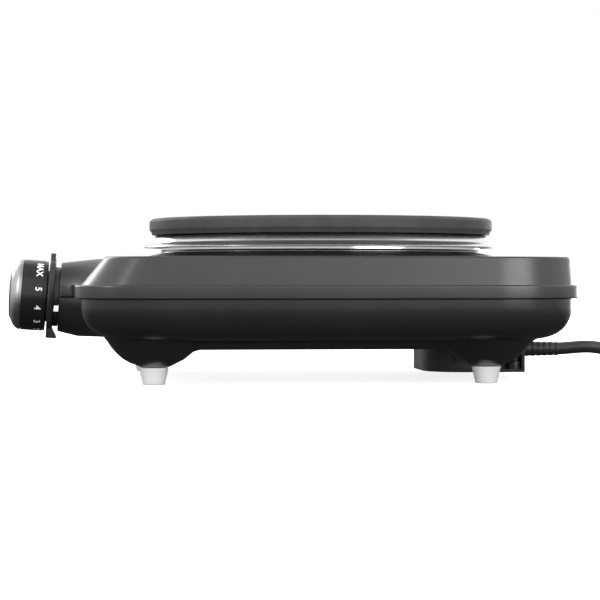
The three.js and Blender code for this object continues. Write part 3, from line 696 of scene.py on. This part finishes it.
def outline_ring(half_width, rear, front, rear_corner, front_corner, z):
    """A rounded rectangle at one height, with its points at even angles about the plate's axis."""
    ring = []
    for i in range(AROUND):
        angle = 2 * math.pi * i / AROUND
        dx, dy = math.cos(angle), math.sin(angle)
        end, corner = (rear, rear_corner) if dy > 0 else (front, front_corner)
        side_reach = half_width / abs(dx) if abs(dx) > 1e-9 else 1e9
        end_reach = end / dy if abs(dy) > 1e-9 else 1e9
        reach = min(side_reach, end_reach)
        cx = math.copysign(half_width - corner, dx)
        cy = end - math.copysign(corner, end)
        if abs(dx * reach) > half_width - corner and abs(dy * reach) > abs(cy):
            along = dx * cx + dy * cy
            reach = along + math.sqrt(max(along**2 - cx**2 - cy**2 + corner**2, 0))
        ring.append((dx * reach, dy * reach, z))
    return ring


LEAST_CORNER = 10


def housing_ring(side, front, z):
    """The housing's outline, drawn in by a distance, and by one of its own in front."""
    rear_corner = max(REAR_CORNER - side, LEAST_CORNER)
    front_corner = max(FRONT_CORNER - side, LEAST_CORNER)
    return outline_ring(
        HALF_WIDTH - side, REAR - side, FRONT + front, rear_corner, front_corner, z
    )


def round_ring(radius, z):
    steps = [2 * math.pi * i / AROUND for i in range(AROUND)]
    return [(radius * math.cos(a), radius * math.sin(a), z) for a in steps]


def between(first, second, share):
    return [tuple(Vector(p).lerp(Vector(q), share)) for p, q in zip(first, second)]


def closed_shell(rings):
    """Vertices and faces of a body whose section is a closed line, a ring for each point."""
    count = len(rings[0])
    verts = [p for ring in rings for p in ring]
    faces = []
    for level in range(len(rings)):
        a, b = level * count, (level + 1) % len(rings) * count
        for i in range(count):
            j = (i + 1) % count
            faces.append([a + i, a + j, b + j, b + i])
    return verts, faces


def block(name, x, y, z):
    """A plain cutter between two values on each axis."""
    corners = [(x[0], y[0]), (x[1], y[0]), (x[1], y[1]), (x[0], y[1])]
    return make_mesh(name, loft([[(*c, h) for c in corners] for h in z]))


def nose_radius(z):
    return NOSE_R - NOSE_FLARE * z


def widened(shape):
    """The nose is drawn out sideways towards the housing."""
    verts, faces = shape
    wide = []
    for x, y, z in verts:
        back = max(0.0, -z) / NOSE_WIDEN_AT
        wide.append((x * (1 + NOSE_WIDEN * back * back), y, z))
    return wide, faces


NOSE_EDGE = 1.2


def nose_solid(name, inset, face_z, low, high):
    """The nose that carries the dial, up to its flat face and between two heights."""
    stations = [-NOSE_LENGTH + 2 * i for i in range(round(NOSE_LENGTH / 2))]
    edge_z = face_z - NOSE_EDGE
    edge = (NOSE_R - inset, face_z)
    profile = [(0, -NOSE_LENGTH)]
    profile += [(nose_radius(z) - inset, z) for z in stations if z < edge_z]
    profile += fillet([(nose_radius(edge_z) - inset, edge_z), edge, (edge[0] - 1.4, face_z)], 1.0)
    profile.append((0, face_z))
    solid = make_mesh(name, widened(lathe(profile, 144)), DIAL_FRAME)
    return boolean(solid, block("slab", (-90, 90), (-160, -60), (low, high)), "INTERSECT")


def joined(name, *objects):
    """One mesh of several that don't touch."""
    work = bmesh.new()
    for obj in objects:
        work.from_mesh(obj.data)
        bpy.data.objects.remove(obj)
    mesh = bpy.data.meshes.new(name)
    work.to_mesh(mesh)
    work.free()
    return new_object(name, mesh)


def turned(name, radius, low, high, x=0.0, y=0.0, space=PLATE_FRAME, segments=48):
    """A round cutter between two heights."""
    profile = [(0, low), (radius, low), (radius, high), (0, high)]
    return make_mesh(name, lathe(profile, segments), space @ Matrix.Translation((x, y, 0)))


FRAME_SCREW_HOLE_R = 1.9
FRAME_SCREWS_AT = ((-8, 7), (8, 7))


def nose_holes():
    """Cutters for the bush and the thermostat's two screws."""
    bush = turned("bush_hole", BUSH_HOLE_R, -5, 2, space=DIAL_FRAME)
    screws = [
        turned("screw_hole", FRAME_SCREW_HOLE_R, -5, 2, x, y, DIAL_FRAME, 24)
        for x, y in FRAME_SCREWS_AT
    ]
    return joined("nose_holes", bush, *screws)


def nose_band():
    """The parting band where it goes on round the nose, from the housing's front."""
    side = smooth_run(
        [
            (20.6, -139.8, 0), (21.2, -136.6, 0), (22.8, -134, 0), (26.4, -132.3, 0),
            (33, -131.6, 0),
        ],
        0.8,
    )
    right = [(p.x, p.y) for p in side] + [(33.0, -128.0)]
    outline = right + [(-x, y) for x, y in reversed(right)]
    return make_mesh("nose_band", prism(outline, PARTING_Z + 0.02, BAND_TOP_Z, 0.7, 4))


def make_upper_housing():
    """The pressed shell: band, walls, top with its raised collar, and the inside of all of it."""
    wall = fillet([(4.6, 4.8, PARTING_Z), (0, 0, PARTING_Z), (0, 0, BAND_TOP_Z),
                   (2.7, 3.2, BAND_TOP_Z), (3.7, 15.2, TOP_Z), (12, 23, TOP_Z)],
                  [0, 0.6, 0.9, 0.7, 2.6, 0], 6)
    rings = [housing_ring(*p) for p in wall]
    top = rings[-1]
    foot = round_ring(COLLAR_FOOT_R + 1.6, TOP_Z)
    rings += [between(top, foot, share) for share in (0.3, 0.6, 1.0)]
    collar = fillet([(96, TOP_Z), (94.4, TOP_Z), (93.6, 64.9), (86.6, COLLAR_Z - 0.2),
                     (84, COLLAR_Z), (OPENING_R, COLLAR_Z), (OPENING_R, 65.2), (86, 64.9),
                     (92.4, CEILING_Z), (98, CEILING_Z)],
                    [0, 0.8, 0.6, 0.8, 0.5, 0.5, 0.4, 0.6, 0.6, 0], 4)
    rings += [round_ring(*p) for p in collar]
    ceiling = housing_ring(7.2, 18.2, CEILING_Z)
    rings += [between(rings[-1], ceiling, share) for share in (0.5, 1.0)]
    rings += [
        housing_ring(5.1, 15.8, 61.5), housing_ring(4.7, 6.4, 47), housing_ring(4.6, 4.8, 45)
    ]
    shell = make_mesh("upper_shell", closed_shell(rings))
    boolean(shell, nose_solid("nose", 0, 0, PARTING_Z + 0.05, TOP_Z - 0.5), "UNION")
    boolean(shell, nose_band(), "UNION")
    boolean(shell, nose_solid("hollow", SKIN, -2.2, PARTING_Z - 1, TOP_Z - SKIN - 0.1))
    boolean(shell, nose_holes())
    return finish_piece(
        shell, BLACK_PAINT, stands_for=["upper_housing"], angle=32
    )


DOME_LINE = smooth_run(
    [
        (8.2, 9.05, 0), (11.9, 10.9, 0), (16.1, 13.3, 0), (20.3, 17.5, 0), (23.7, 22.3, 0),
        (25.6, 27, 0), (27.2, 33, 0), (28.4, 40, 0),
    ],
    0.5,
)


def dome_height(distance):
    """Height of a foot dome's outer face, at a distance from the middle of its foot."""
    if distance <= DOME_LINE[0].x:
        return DOME_Z
    for a, b in zip(DOME_LINE, DOME_LINE[1:]):
        if distance <= b.x:
            return a.y + (b.y - a.y) * (distance - a.x) / (b.x - a.x)
    return 60.0


def soft_min(a, b, reach):
    """The lower of two heights, with a soft hollow where they are closer than reach."""
    if abs(a - b) >= reach:
        return min(a, b)
    return min(a, b) - (reach - abs(a - b)) ** 2 / (4 * reach)


def plateau_ring(out, z):
    """The plateau's outline, grown by a distance, which counts for less in front."""
    return outline_ring(PLATEAU_HALF_WIDTH + out, PLATEAU_REAR + out, PLATEAU_FRONT - 0.35 * out,
                        PLATEAU_CORNER + 0.5 * out, PLATEAU_CORNER + 0.5 * out, z)


WALL_STEPS = 16


def lower_surface(grow=0.0):
    """The bowl with its plateau and domes, open at the top, or grown all round by a distance."""
    rings = []
    top = PARTING_Z - GAP
    for i in range(WALL_STEPS + 1):
        t = math.radians(90 * i / WALL_STEPS)
        # The wall's section is a quarter of a superellipse.
        across = 1 - max(math.cos(t), 0) ** (2 / BOWL_POWER)
        down = math.sin(t) ** (2 / BOWL_POWER)
        side = BOWL_INSET - grow + BOWL_RUN * across
        front = BOWL_INSET - grow + BOWL_RUN_FRONT * across
        rings.append(housing_ring(side, front, top - (top - BOWL_Z) * down))
    floor = plateau_ring(2.7 + grow, BOWL_Z)
    edge = rings[-1]
    rings += [between(edge, floor, share) for share in (0.2, 0.4, 0.6, 0.8, 1.0)]
    for out in (2.2, 1.8, 1.4, 1.0, 0.6, 0.2, -0.2, -0.6, -1.0, -1.6):
        share = eased((out + 1.0) / 3.4)
        rings.append(plateau_ring(out + grow, PLATEAU_Z + (BOWL_Z - PLATEAU_Z) * share))
    inside = plateau_ring(grow - 2.6, PLATEAU_Z)
    rings.append(inside)
    # The floor closes in towards its middle, the last few rings in smaller steps.
    for k in range(1, 32):
        share = 1 - k / 33 if k < 26 else 0.24 * (32 - k) / 6.5
        rings.append([(x * share, y * share, z) for x, y, z in inside])
    pressed = []
    for x, y, z in [p for ring in rings for p in ring]:
        for fx, fy in FEET.values():
            distance = math.hypot(x - fx, y - fy)
            if distance < DOME_REACH and z < top - 0.5:
                z = soft_min(z, dome_height(distance), DOME_BLEND)
        pressed.append((x, y, z - grow))
    return pressed, loft(rings)[1]


VENT_ROWS = (-42, 42)
VENTS_IN_ROW = 6
VENT_FIRST_Y = -60
VENT_PITCH = 12
VENT_HALF_LENGTH = 14
VENT_HALF_WIDTH = 2
FOOT_SCREW_HOLE_R = 2.2
THROUGH_FLOOR = (10, 30)


def make_lower_housing():
    """The bowl: its skin, the nose's lower half, and its holes and vents."""
    top = PARTING_Z - GAP
    pressed, faces = lower_surface()
    shell = make_mesh("lower_shell", (pressed, faces[1:]))
    lowest = min(shell.data.polygons, key=lambda f: f.center.z)
    if lowest.normal.z > 0:
        shell.data.flip_normals()
    skin = shell.modifiers.new("skin", "SOLIDIFY")
    skin.thickness = SKIN * MM
    skin.offset = -1
    apply_modifiers(shell)
    boolean(shell, nose_solid("nose", 0, 0, BOWL_Z, top - 0.05), "UNION")
    boolean(shell, nose_solid("hollow", SKIN, -2.2, BOWL_Z + SKIN, top + 1))
    cuts = []
    for x in VENT_ROWS:
        for i in range(VENTS_IN_ROW):
            y = VENT_FIRST_Y + VENT_PITCH * i
            across = (x - VENT_HALF_LENGTH, x + VENT_HALF_LENGTH)
            along = (y - VENT_HALF_WIDTH, y + VENT_HALF_WIDTH)
            vent = rounded_box(across, along, THROUGH_FLOOR, 1.98, 0, 8)
            cuts.append(make_mesh("vent", vent))
    cuts.append(make_mesh("lead_opening", rounded_box((-13, 13), (57, 74), THROUGH_FLOOR, 3, 0)))
    for x, y in FEET.values():
        cuts.append(turned("screw_hole", FOOT_SCREW_HOLE_R, 5, 20, x, y, segments=24))
    boolean(shell, joined("cuts", *cuts))
    boolean(shell, nose_holes())
    return finish_piece(
        shell, BLACK_PAINT, stands_for=["lower_housing"], angle=32
    )


def make_posts():
    """Four tubular posts under the top of the upper housing, for the foot screws."""
    profile = fillet([(1.7, 11.2), (4, 11.2), (4, 62.6), (1.7, 62.6)], 0.4, 3, closed=True)
    posts = []
    for x, y in FEET.values():
        posts.append(
            make_mesh("post", lathe(profile, 40), PLATE_FRAME @ Matrix.Translation((x, y, 0)))
        )
    return finish_piece(joined("foot_screw_posts", *posts), BLACK_PAINT)


def make_feet():
    """Tapered feet with a recess for the screw's head."""
    profile = fillet(
        [(2.2, 3.4), (2.2, 8.7), (7.5, 8.7), (6.1, 3.0), (5.5, 0), (3.3, 0), (3.3, 3.4)],
        [0.2, 0.2, 0.6, 3, 0.7, 0.3, 0.2], 6, closed=True,
    )
    for place, (x, y) in FEET.items():
        foot = make_mesh(
            f"rubber_foot_{place}", lathe(profile, 72),
            PLATE_FRAME @ Matrix.Translation((x, y, 0)),
        )
        finish_piece(foot, FOOT_RUBBER, stands_for=[f"foot_{place}"], angle=50)


make_upper_housing()
make_lower_housing()
make_posts()
make_feet()


# ------------------------------------------------------------------ plate and its ring


LARGE_ROUND = 256  # segments round the plate and its ring


def make_hot_plate():
    profile = fillet(
        [
            (0, 83.7), (20.6, 83.7), (23, PLATE_TOP_Z), (90.9, PLATE_TOP_Z), (PLATE_R, 83.6),
            (PLATE_R, 78.9), (91.7, 78.3), (91.3, 77.4), (90.9, 76.3), (86.2, 76.3), (84.5, 79),
            (8, 79), (8, 75), (3.3, 75), (3.3, 80.9), (0, 80.9),
        ],
        [0, 1.6, 1.6, 1.4, 1.2, 0.4, 0.1, 0, 0.3, 0.3, 1, 0.5, 0.3, 0.1, 0.1, 0], 5,
    )
    plate = make_mesh("cast_plate", lathe(profile, LARGE_ROUND), Matrix.Scale(MM, 4))
    plate.location = (0, PLATE_Y, 0)
    finish_piece(plate, CAST_IRON, stands_for=["hot_plate"], angle=28)


def make_spill_ring():
    low = COLLAR_Z + GAP
    profile = fillet(
        [
            (85.2, low), (86.35, low), (86, low + 1.2), (86, 73.6), (88.1, 74.4), (94.7, 69.4),
            (95.8, 69.6), (92.4, 71.9), (89.7, 75.2), (88.9, 75.8), (86.6, 75.8), (85.2, 75),
        ],
        [0.2, 0.15, 0.8, 1.0, 0.8, 0.4, 0.35, 6.0, 1.2, 0.6, 0.8, 0.8], 5, closed=True,
    )
    ring = make_mesh("chromed_ring", lathe(profile, LARGE_ROUND), Matrix.Scale(MM, 4))
    ring.location = (0, PLATE_Y, 0)
    finish_piece(ring, CHROME, stands_for=["spill_ring"], angle=50)


# ------------------------------------------------------------------ dial


def in_dial(name, shape):
    """A piece whose own axes are the dial's, so that its finish turns about the knob's axis."""
    obj = make_mesh(name, shape, Matrix.Scale(MM, 4))
    obj.matrix_world = DIAL_PLACE
    return obj


def dial_block(name, x, y, z):
    outline = [(x[0], y[0]), (x[1], y[0]), (x[1], y[1]), (x[0], y[1])]
    return in_dial(name, prism(outline, z[0], z[1]))


def make_bezel():
    """A disc with a pointer above, a thick lip below, a skirt, and a ring inside the knob."""
    disc = fillet(
        [
            (0, BEZEL_BACK), (BEZEL_R, BEZEL_BACK), (BEZEL_R, BEZEL_FRONT), (13.6, BEZEL_FRONT),
            (13.6, BEZEL_BOSS), (12, BEZEL_BOSS), (12, BEZEL_FRONT), (0, BEZEL_FRONT),
        ],
        [0, 0.5, 0.6, 0.1, 0.3, 0.3, 0.1, 0], 4,
    )
    bezel = in_dial("dial_bezel", lathe(disc, 144))
    pointer = fillet(
        [(-5.8, 17.5), (5.8, 17.5), (1.9, 23), (-1.9, 23)], [0, 0, 0.9, 0.9], 4, closed=True
    )
    pointer_shape = prism(pointer, BEZEL_BACK + 0.3, BEZEL_FRONT - 0.05, 0.35)
    boolean(bezel, in_dial("pointer", pointer_shape), "UNION")
    lip = fillet(
        [
            (BEZEL_FRONT - 0.05, -22), (BEZEL_FRONT - 0.05, -16), (BEZEL_BACK + 0.2, -16),
            (BEZEL_BACK - 0.6, -18), (BEZEL_BACK - 3.0, -22),
        ],
        [0.5, 0, 0, 1.2, 0.5], 4, closed=True,
    )
    verts, faces = prism(lip, -11, 11, 0.5)
    lip_solid = in_dial("lip", ([(z, y, x) for x, y, z in verts], faces))
    boolean(bezel, lip_solid, "UNION")
    skirt = [(13.8, GAP), (15.8, GAP), (15.8, BEZEL_BACK + 0.5), (13.8, BEZEL_BACK + 0.5)]
    boolean(bezel, in_dial("skirt", lathe(skirt, 96)), "UNION")
    boolean(bezel, dial_block("window", (-20, 20), (-8, -4.6), (-1, BEZEL_BACK - 0.1)))
    for x in ((18.6, 24), (-24, -18.6)):
        boolean(bezel, dial_block("slot", x, (-9, 9), (BEZEL_BACK + 0.5, BEZEL_BACK + 1.7)))
    bore = [(0, -3), (BUSH_HOLE_R, -3), (BUSH_HOLE_R, 9), (0, 9)]
    boolean(bezel, in_dial("bore", lathe(bore, 64)))
    finish_piece(bezel, SATIN_BLACK, stands_for=["bezel"], angle=30)


def make_knob():
    """The hollow knob on its hub, its metal cap, and the dark inlay in the cap."""
    wall = fillet(
        [
            (16.9, KNOB_BACK), (18.4, KNOB_BACK), (18.4, KNOB_BACK + 1.2),
            (KNOB_R, KNOB_BACK + 1.5), (KNOB_R, KNOB_FRONT), (0, KNOB_FRONT),
            (0, KNOB_FRONT - 1.8), (16.9, KNOB_FRONT - 1.8),
        ],
        [0.3, 0.3, 0.1, 0.3, 0.35, 0, 0, 0.8], 4,
    )
    knob = in_dial("dial_knob", lathe(wall, 160))
    hub = lathe(
        [(0, KNOB_BACK + 0.6), (6.2, KNOB_BACK + 0.6), (6.2, KNOB_FRONT - 1), (0, KNOB_FRONT - 1)],
        64,
    )
    boolean(knob, in_dial("hub", hub), "UNION")
    bore = in_dial(
        "bore", lathe([(0, 4.9), (3.3, 4.9), (3.3, KNOB_FRONT - 2.4), (0, KNOB_FRONT - 2.4)], 64)
    )
    boolean(bore, dial_block("flat", (-4, 4), (2.0, 6), (3.9, KNOB_FRONT)))
    boolean(knob, bore)
    boolean(knob, dial_block("clip_slot", (-2.2, 2.2), (2.3, 3.6), (3.9, KNOB_FRONT - 3)))
    finish_piece(knob, GLOSS_BLACK, "knob", ["knob_body"], 32)

    outer = smooth_run(
        [
            (18.65, 19.8, 0), (18.5, 21.0, 0), (17.7, 22.5, 0), (16.1, 23.9, 0), (14.3, 24.9, 0),
            (12.7, 25.6, 0),
        ],
        0.35,
    )
    profile = [(p.x, p.y) for p in outer]
    profile += [(12.7, 24.2), (0, 24.2), (0, 23), (13.6, 23), (16.2, 21.4), (17.2, 19.8)]
    finish_piece(
        in_dial("dial_cap", lathe(profile, 192)), CAP_METAL, "knob", ["knob_cap"], 40
    )

    face = fillet(
        [(0, 24.5), (INLAY_R, 24.5), (INLAY_R, 26.1), (6.5, 26.55), (0, 26.7)],
        [0, 0.2, 0.5, 2, 0], 5,
    )
    finish_piece(
        in_dial("dial_inlay", lathe(face, 144)), GLOSS_BLACK, "knob",
        ["knob_inlay"], 40,
    )


# Marks round the knob: the text, and its angle from the pointer in degrees.
SCALE_MARKS = [("0", 0), ("MAX", 41), ("5", 79), ("4", 109.5), ("3", 136), ("2", 163), ("1", 190)]
MARK_HEIGHT = 3.5
MARK_AT = 11.0
FONT_SIZE_TO_HEIGHT = 1.38
MARK_WEIGHT = 0.08
MARK_RELIEF = 0.04
MARK_SLICE = 0.5  # width of the strips that let a figure follow the knob's curve


def make_scale():
    """The dial's figures, as print that stands up from the rim by a tenth of a millimetre."""
    work = bmesh.new()
    for text, angle in SCALE_MARKS:
        data = bpy.data.curves.new("mark", "FONT")
        data.body = text
        data.align_x = "CENTER"
        data.align_y = "CENTER"
        data.size = MARK_HEIGHT * FONT_SIZE_TO_HEIGHT
        data.offset = MARK_WEIGHT
        data.extrude = MARK_RELIEF
        obj = new_object("mark", data)
        bpy.context.view_layer.update()
        flat = bmesh.new()
        graph = bpy.context.evaluated_depsgraph_get()
        flat.from_mesh(bpy.data.meshes.new_from_object(obj.evaluated_get(graph)))
        bmesh.ops.remove_doubles(flat, verts=flat.verts, dist=1e-4)
        for step in range(-12, 13):
            whole = flat.verts[:] + flat.edges[:] + flat.faces[:]
            cut = (step * MARK_SLICE, 0, 0)
            bmesh.ops.bisect_plane(flat, geom=whole, plane_co=cut, plane_no=(1, 0, 0))
        for v in flat.verts:
            turn = math.radians(angle) + v.co.x / KNOB_R
            radius = KNOB_R + 0.05 + v.co.z
            v.co = (radius * math.sin(turn), radius * math.cos(turn), MARK_AT - v.co.y)
        mesh = bpy.data.meshes.new("mark")
        flat.to_mesh(mesh)
        work.from_mesh(mesh)
        flat.free()
        bpy.data.objects.remove(obj)
    for v in work.verts:
        v.co *= MM
    mesh = bpy.data.meshes.new("dial_figures")
    bmesh.ops.recalc_face_normals(work, faces=work.faces)
    work.to_mesh(mesh)
    work.free()
    marks = new_object("dial_figures", mesh)
    marks.matrix_world = DIAL_PLACE
    finish_piece(marks, SCALE_PRINT, "knob", angle=40)


# ------------------------------------------------------------------ cord cover and strain relief


def make_cord_cover():
    """A tray under the rear of the housing, round in front, with a niche for its screws."""
    reach = COVER_HALF_WIDTH - COVER_NICHE

    def outline(half, front, rear, corner):
        return fillet(
            [(-half, front), (half, front), (half, rear), (-half, rear)], [corner, corner, 2, 2],
            18, True,
        )

    outside = outline(COVER_HALF_WIDTH, COVER_FRONT, COVER_REAR, COVER_CORNER)
    cover = make_mesh("cord_tray", prism(outside, COVER_BOTTOM, 32, 0.5, 3))
    inside = outline(reach - COVER_WALL, COVER_FRONT + COVER_WALL, COVER_REAR - COVER_WALL,
                     COVER_CORNER - COVER_WALL)
    chamber = prism(inside, COVER_BOTTOM + COVER_WALL, 40, 0, 1)
    boolean(cover, make_mesh("chamber", chamber))
    for side in (-1, 1):
        across = sorted((side * reach, side * (COVER_HALF_WIDTH + 4)))
        niche = rounded_box(across, (COVER_NICHE_FRONT, COVER_REAR - COVER_WALL),
                            (COVER_BOTTOM + 1.6, 40), 1, 0)
        boolean(cover, make_mesh("niche", niche))
        boss = lathe(fillet([(0, 4.5), (3.6, 4.5), (3.6, 9.2), (0, 9.2)], [0, 0, 0.4, 0]), 48)
        at = Matrix.Translation((side * (COVER_HALF_WIDTH - 4), COVER_REAR - 5.6, 0))
        boolean(cover, make_mesh("boss", boss, PLATE_FRAME @ at), "UNION")
        bore = lathe([(0, 0), (1.6, 0), (1.6, 12), (0, 12)], 32)
        boolean(cover, make_mesh("bore", bore, PLATE_FRAME @ at))
    boolean(cover, make_mesh("housing_space", lower_surface(GAP)))
    along = Matrix.Translation((0, COVER_REAR, CORD_Z)) @ ALONG_CORD
    hole = lathe([(0, -6), (4.4, -6), (4.4, 4), (0, 4)], 48)
    boolean(cover, make_mesh("cord_hole", hole, PLATE_FRAME @ along))
    finish_piece(cover, SATIN_BLACK, stands_for=["cord_cover"], angle=32)


RIBS = 5
FIRST_RIB_Y = 112.6
RIB_PITCH = 3.3


def make_strain_relief():
    """A tapered sleeve with soft ribs, round the cord where it leaves its cover."""
    start = COVER_REAR - 4.4
    profile = [(0, start), (5.4, start), (5.4, start + 2.1), (4.1, start + 2.1), (4.1, 111.5)]
    for k in range(RIBS):
        y = FIRST_RIB_Y + RIB_PITCH * k
        r = 4.08 - 0.07 * k
        profile += [(r, y), (r, y + 1.9), (r - 0.28, y + 2.3), (r - 0.28, y + 3.0)]
    profile += [
        (3.7, 129.2), (3.62, SLEEVE_END_Y), (3.45, SLEEVE_END_Y), (3.45, 121.5), (0, 121.5)
    ]
    shape = lathe(fillet(profile, 0.12, 2), 72)
    along = Matrix.Translation((0, 0, CORD_Z)) @ ALONG_CORD
    sleeve = make_mesh("cord_sleeve", shape, PLATE_FRAME @ along)
    finish_piece(sleeve, CORD_RUBBER, stands_for=["strain_relief"], angle=35)


make_hot_plate()
make_spill_ring()
make_bezel()
make_knob()
make_scale()
make_cord_cover()
make_strain_relief()


# ------------------------------------------------------------------ floor and lights

FLOOR_REACH = 4  # metres from the middle to each edge


def plain_floor():
    """A pale floor, clear from below, that throws no light of its own on the object."""
    mesh = bpy.data.meshes.new("floor")
    corners = [
        (x * FLOOR_REACH, y * FLOOR_REACH, 0) for x, y in ((-1, -1), (1, -1), (1, 1), (-1, 1))
    ]
    mesh.from_pydata(corners, [], [(0, 1, 2, 3)])
    floor = new_object("floor", mesh)
    made = bpy.data.materials.new("pale_floor")
    made.use_nodes = True
    tree = made.node_tree
    shader = tree.nodes["Principled BSDF"]
    coords = node(tree, "ShaderNodeTexCoord").outputs["Object"]
    tree.links.new(
        colour_between(tree, noise(tree, coords, 3), (0.86, 0.86, 0.86), (0.88, 0.88, 0.88)),
        shader.inputs["Base Color"],
    )
    shader.inputs["Roughness"].default_value = 0.9
    shader.inputs["Emission Color"].default_value = (1, 1, 1, 1)
    shader.inputs["Emission Strength"].default_value = 0.8
    clear = node(tree, "ShaderNodeBsdfTransparent")
    below = node(tree, "ShaderNodeNewGeometry").outputs["Backfacing"]
    mix = node(tree, "ShaderNodeMixShader")
    tree.links.new(below, mix.inputs["Fac"])
    tree.links.new(shader.outputs["BSDF"], mix.inputs[1])
    tree.links.new(clear.outputs["BSDF"], mix.inputs[2])
    tree.links.new(mix.outputs["Shader"], tree.nodes["Material Output"].inputs["Surface"])
    mesh.materials.append(made)
    floor.visible_glossy = False
    floor.visible_diffuse = False


def softbox(name, place, target, size, power, mirrored=True):
    """A lamp at a place, facing a target, with its size in metres and its power in watts."""
    data = bpy.data.lights.new(name, "AREA")
    data.shape = "RECTANGLE"
    data.size, data.size_y = size
    data.energy = power
    lamp = new_object(name, data)
    lamp.location = place
    lamp.rotation_euler = (Vector(target) - Vector(place)).to_track_quat("-Z", "Y").to_euler()
    lamp.visible_camera = False
    lamp.visible_glossy = mirrored


# The sky's grey by height, from 0 straight down to 1 straight up.
SKY_STOPS = [(0.36, 0.04), (0.42, 0.13), (0.47, 0.38), (0.53, 0.85),
             (0.60, 1.00), (0.90, 0.95), (0.955, 0.40), (0.985, 0.50)]


def studio_world():
    """White behind the object, and for its light a soft sky, darker towards the ground."""
    world = bpy.data.worlds.new("studio")
    world.use_nodes = True
    tree = world.node_tree
    background = tree.nodes["Background"]
    parts = node(tree, "ShaderNodeSeparateXYZ")
    tree.links.new(node(tree, "ShaderNodeTexCoord").outputs["Generated"], parts.inputs["Vector"])
    sky = node(tree, "ShaderNodeValToRGB")
    for _ in SKY_STOPS[2:]:
        sky.color_ramp.elements.new(0.5)
    for stop, (position, grey) in zip(sky.color_ramp.elements, SKY_STOPS):
        stop.position = position
        stop.color = (grey, grey, grey, 1)
    height = node(tree, "ShaderNodeMapRange")
    height.inputs["From Min"].default_value = -1
    height.inputs["From Max"].default_value = 1
    tree.links.new(parts.outputs["Z"], height.inputs["Value"])
    tree.links.new(height.outputs["Result"], sky.inputs["Fac"])
    white = node(tree, "ShaderNodeBackground")
    white.inputs["Color"].default_value = (1, 1, 1, 1)
    seen = node(tree, "ShaderNodeLightPath").outputs["Is Camera Ray"]
    mix = node(tree, "ShaderNodeMixShader")
    tree.links.new(sky.outputs["Color"], background.inputs["Color"])
    tree.links.new(seen, mix.inputs["Fac"])
    tree.links.new(background.outputs["Background"], mix.inputs[1])
    tree.links.new(white.outputs["Background"], mix.inputs[2])
    tree.links.new(mix.outputs["Shader"], tree.nodes["World Output"].inputs["Surface"])
    bpy.context.scene.world = world


plain_floor()
studio_world()
softbox("key", (0.5, -0.2, 1.4), (0, 0, 0.05), (1.4, 1.4), 22, mirrored=False)
softbox("side", (1.5, 1.05, 0.45), (0, 0.05, 0.05), (1.2, 0.8), 10)
softbox("front", (0.6, -1.2, 0.65), (0, -0.1, 0.05), (0.3, 0.7), 4)
softbox("far_front", (-1.4, -0.75, 0.55), (0, -0.1, 0.05), (0.35, 0.7), 4)
softbox("rim", (-1.5, 0.65, 0.15), (0, 0.05, 0.03), (1.0, 0.4), 6)
softbox("fill", (1.6, -0.3, 0.16), (0, 0, 0.02), (1.2, 0.25), 9, mirrored=False)
bpy.context.scene.view_settings.view_transform = "Standard"
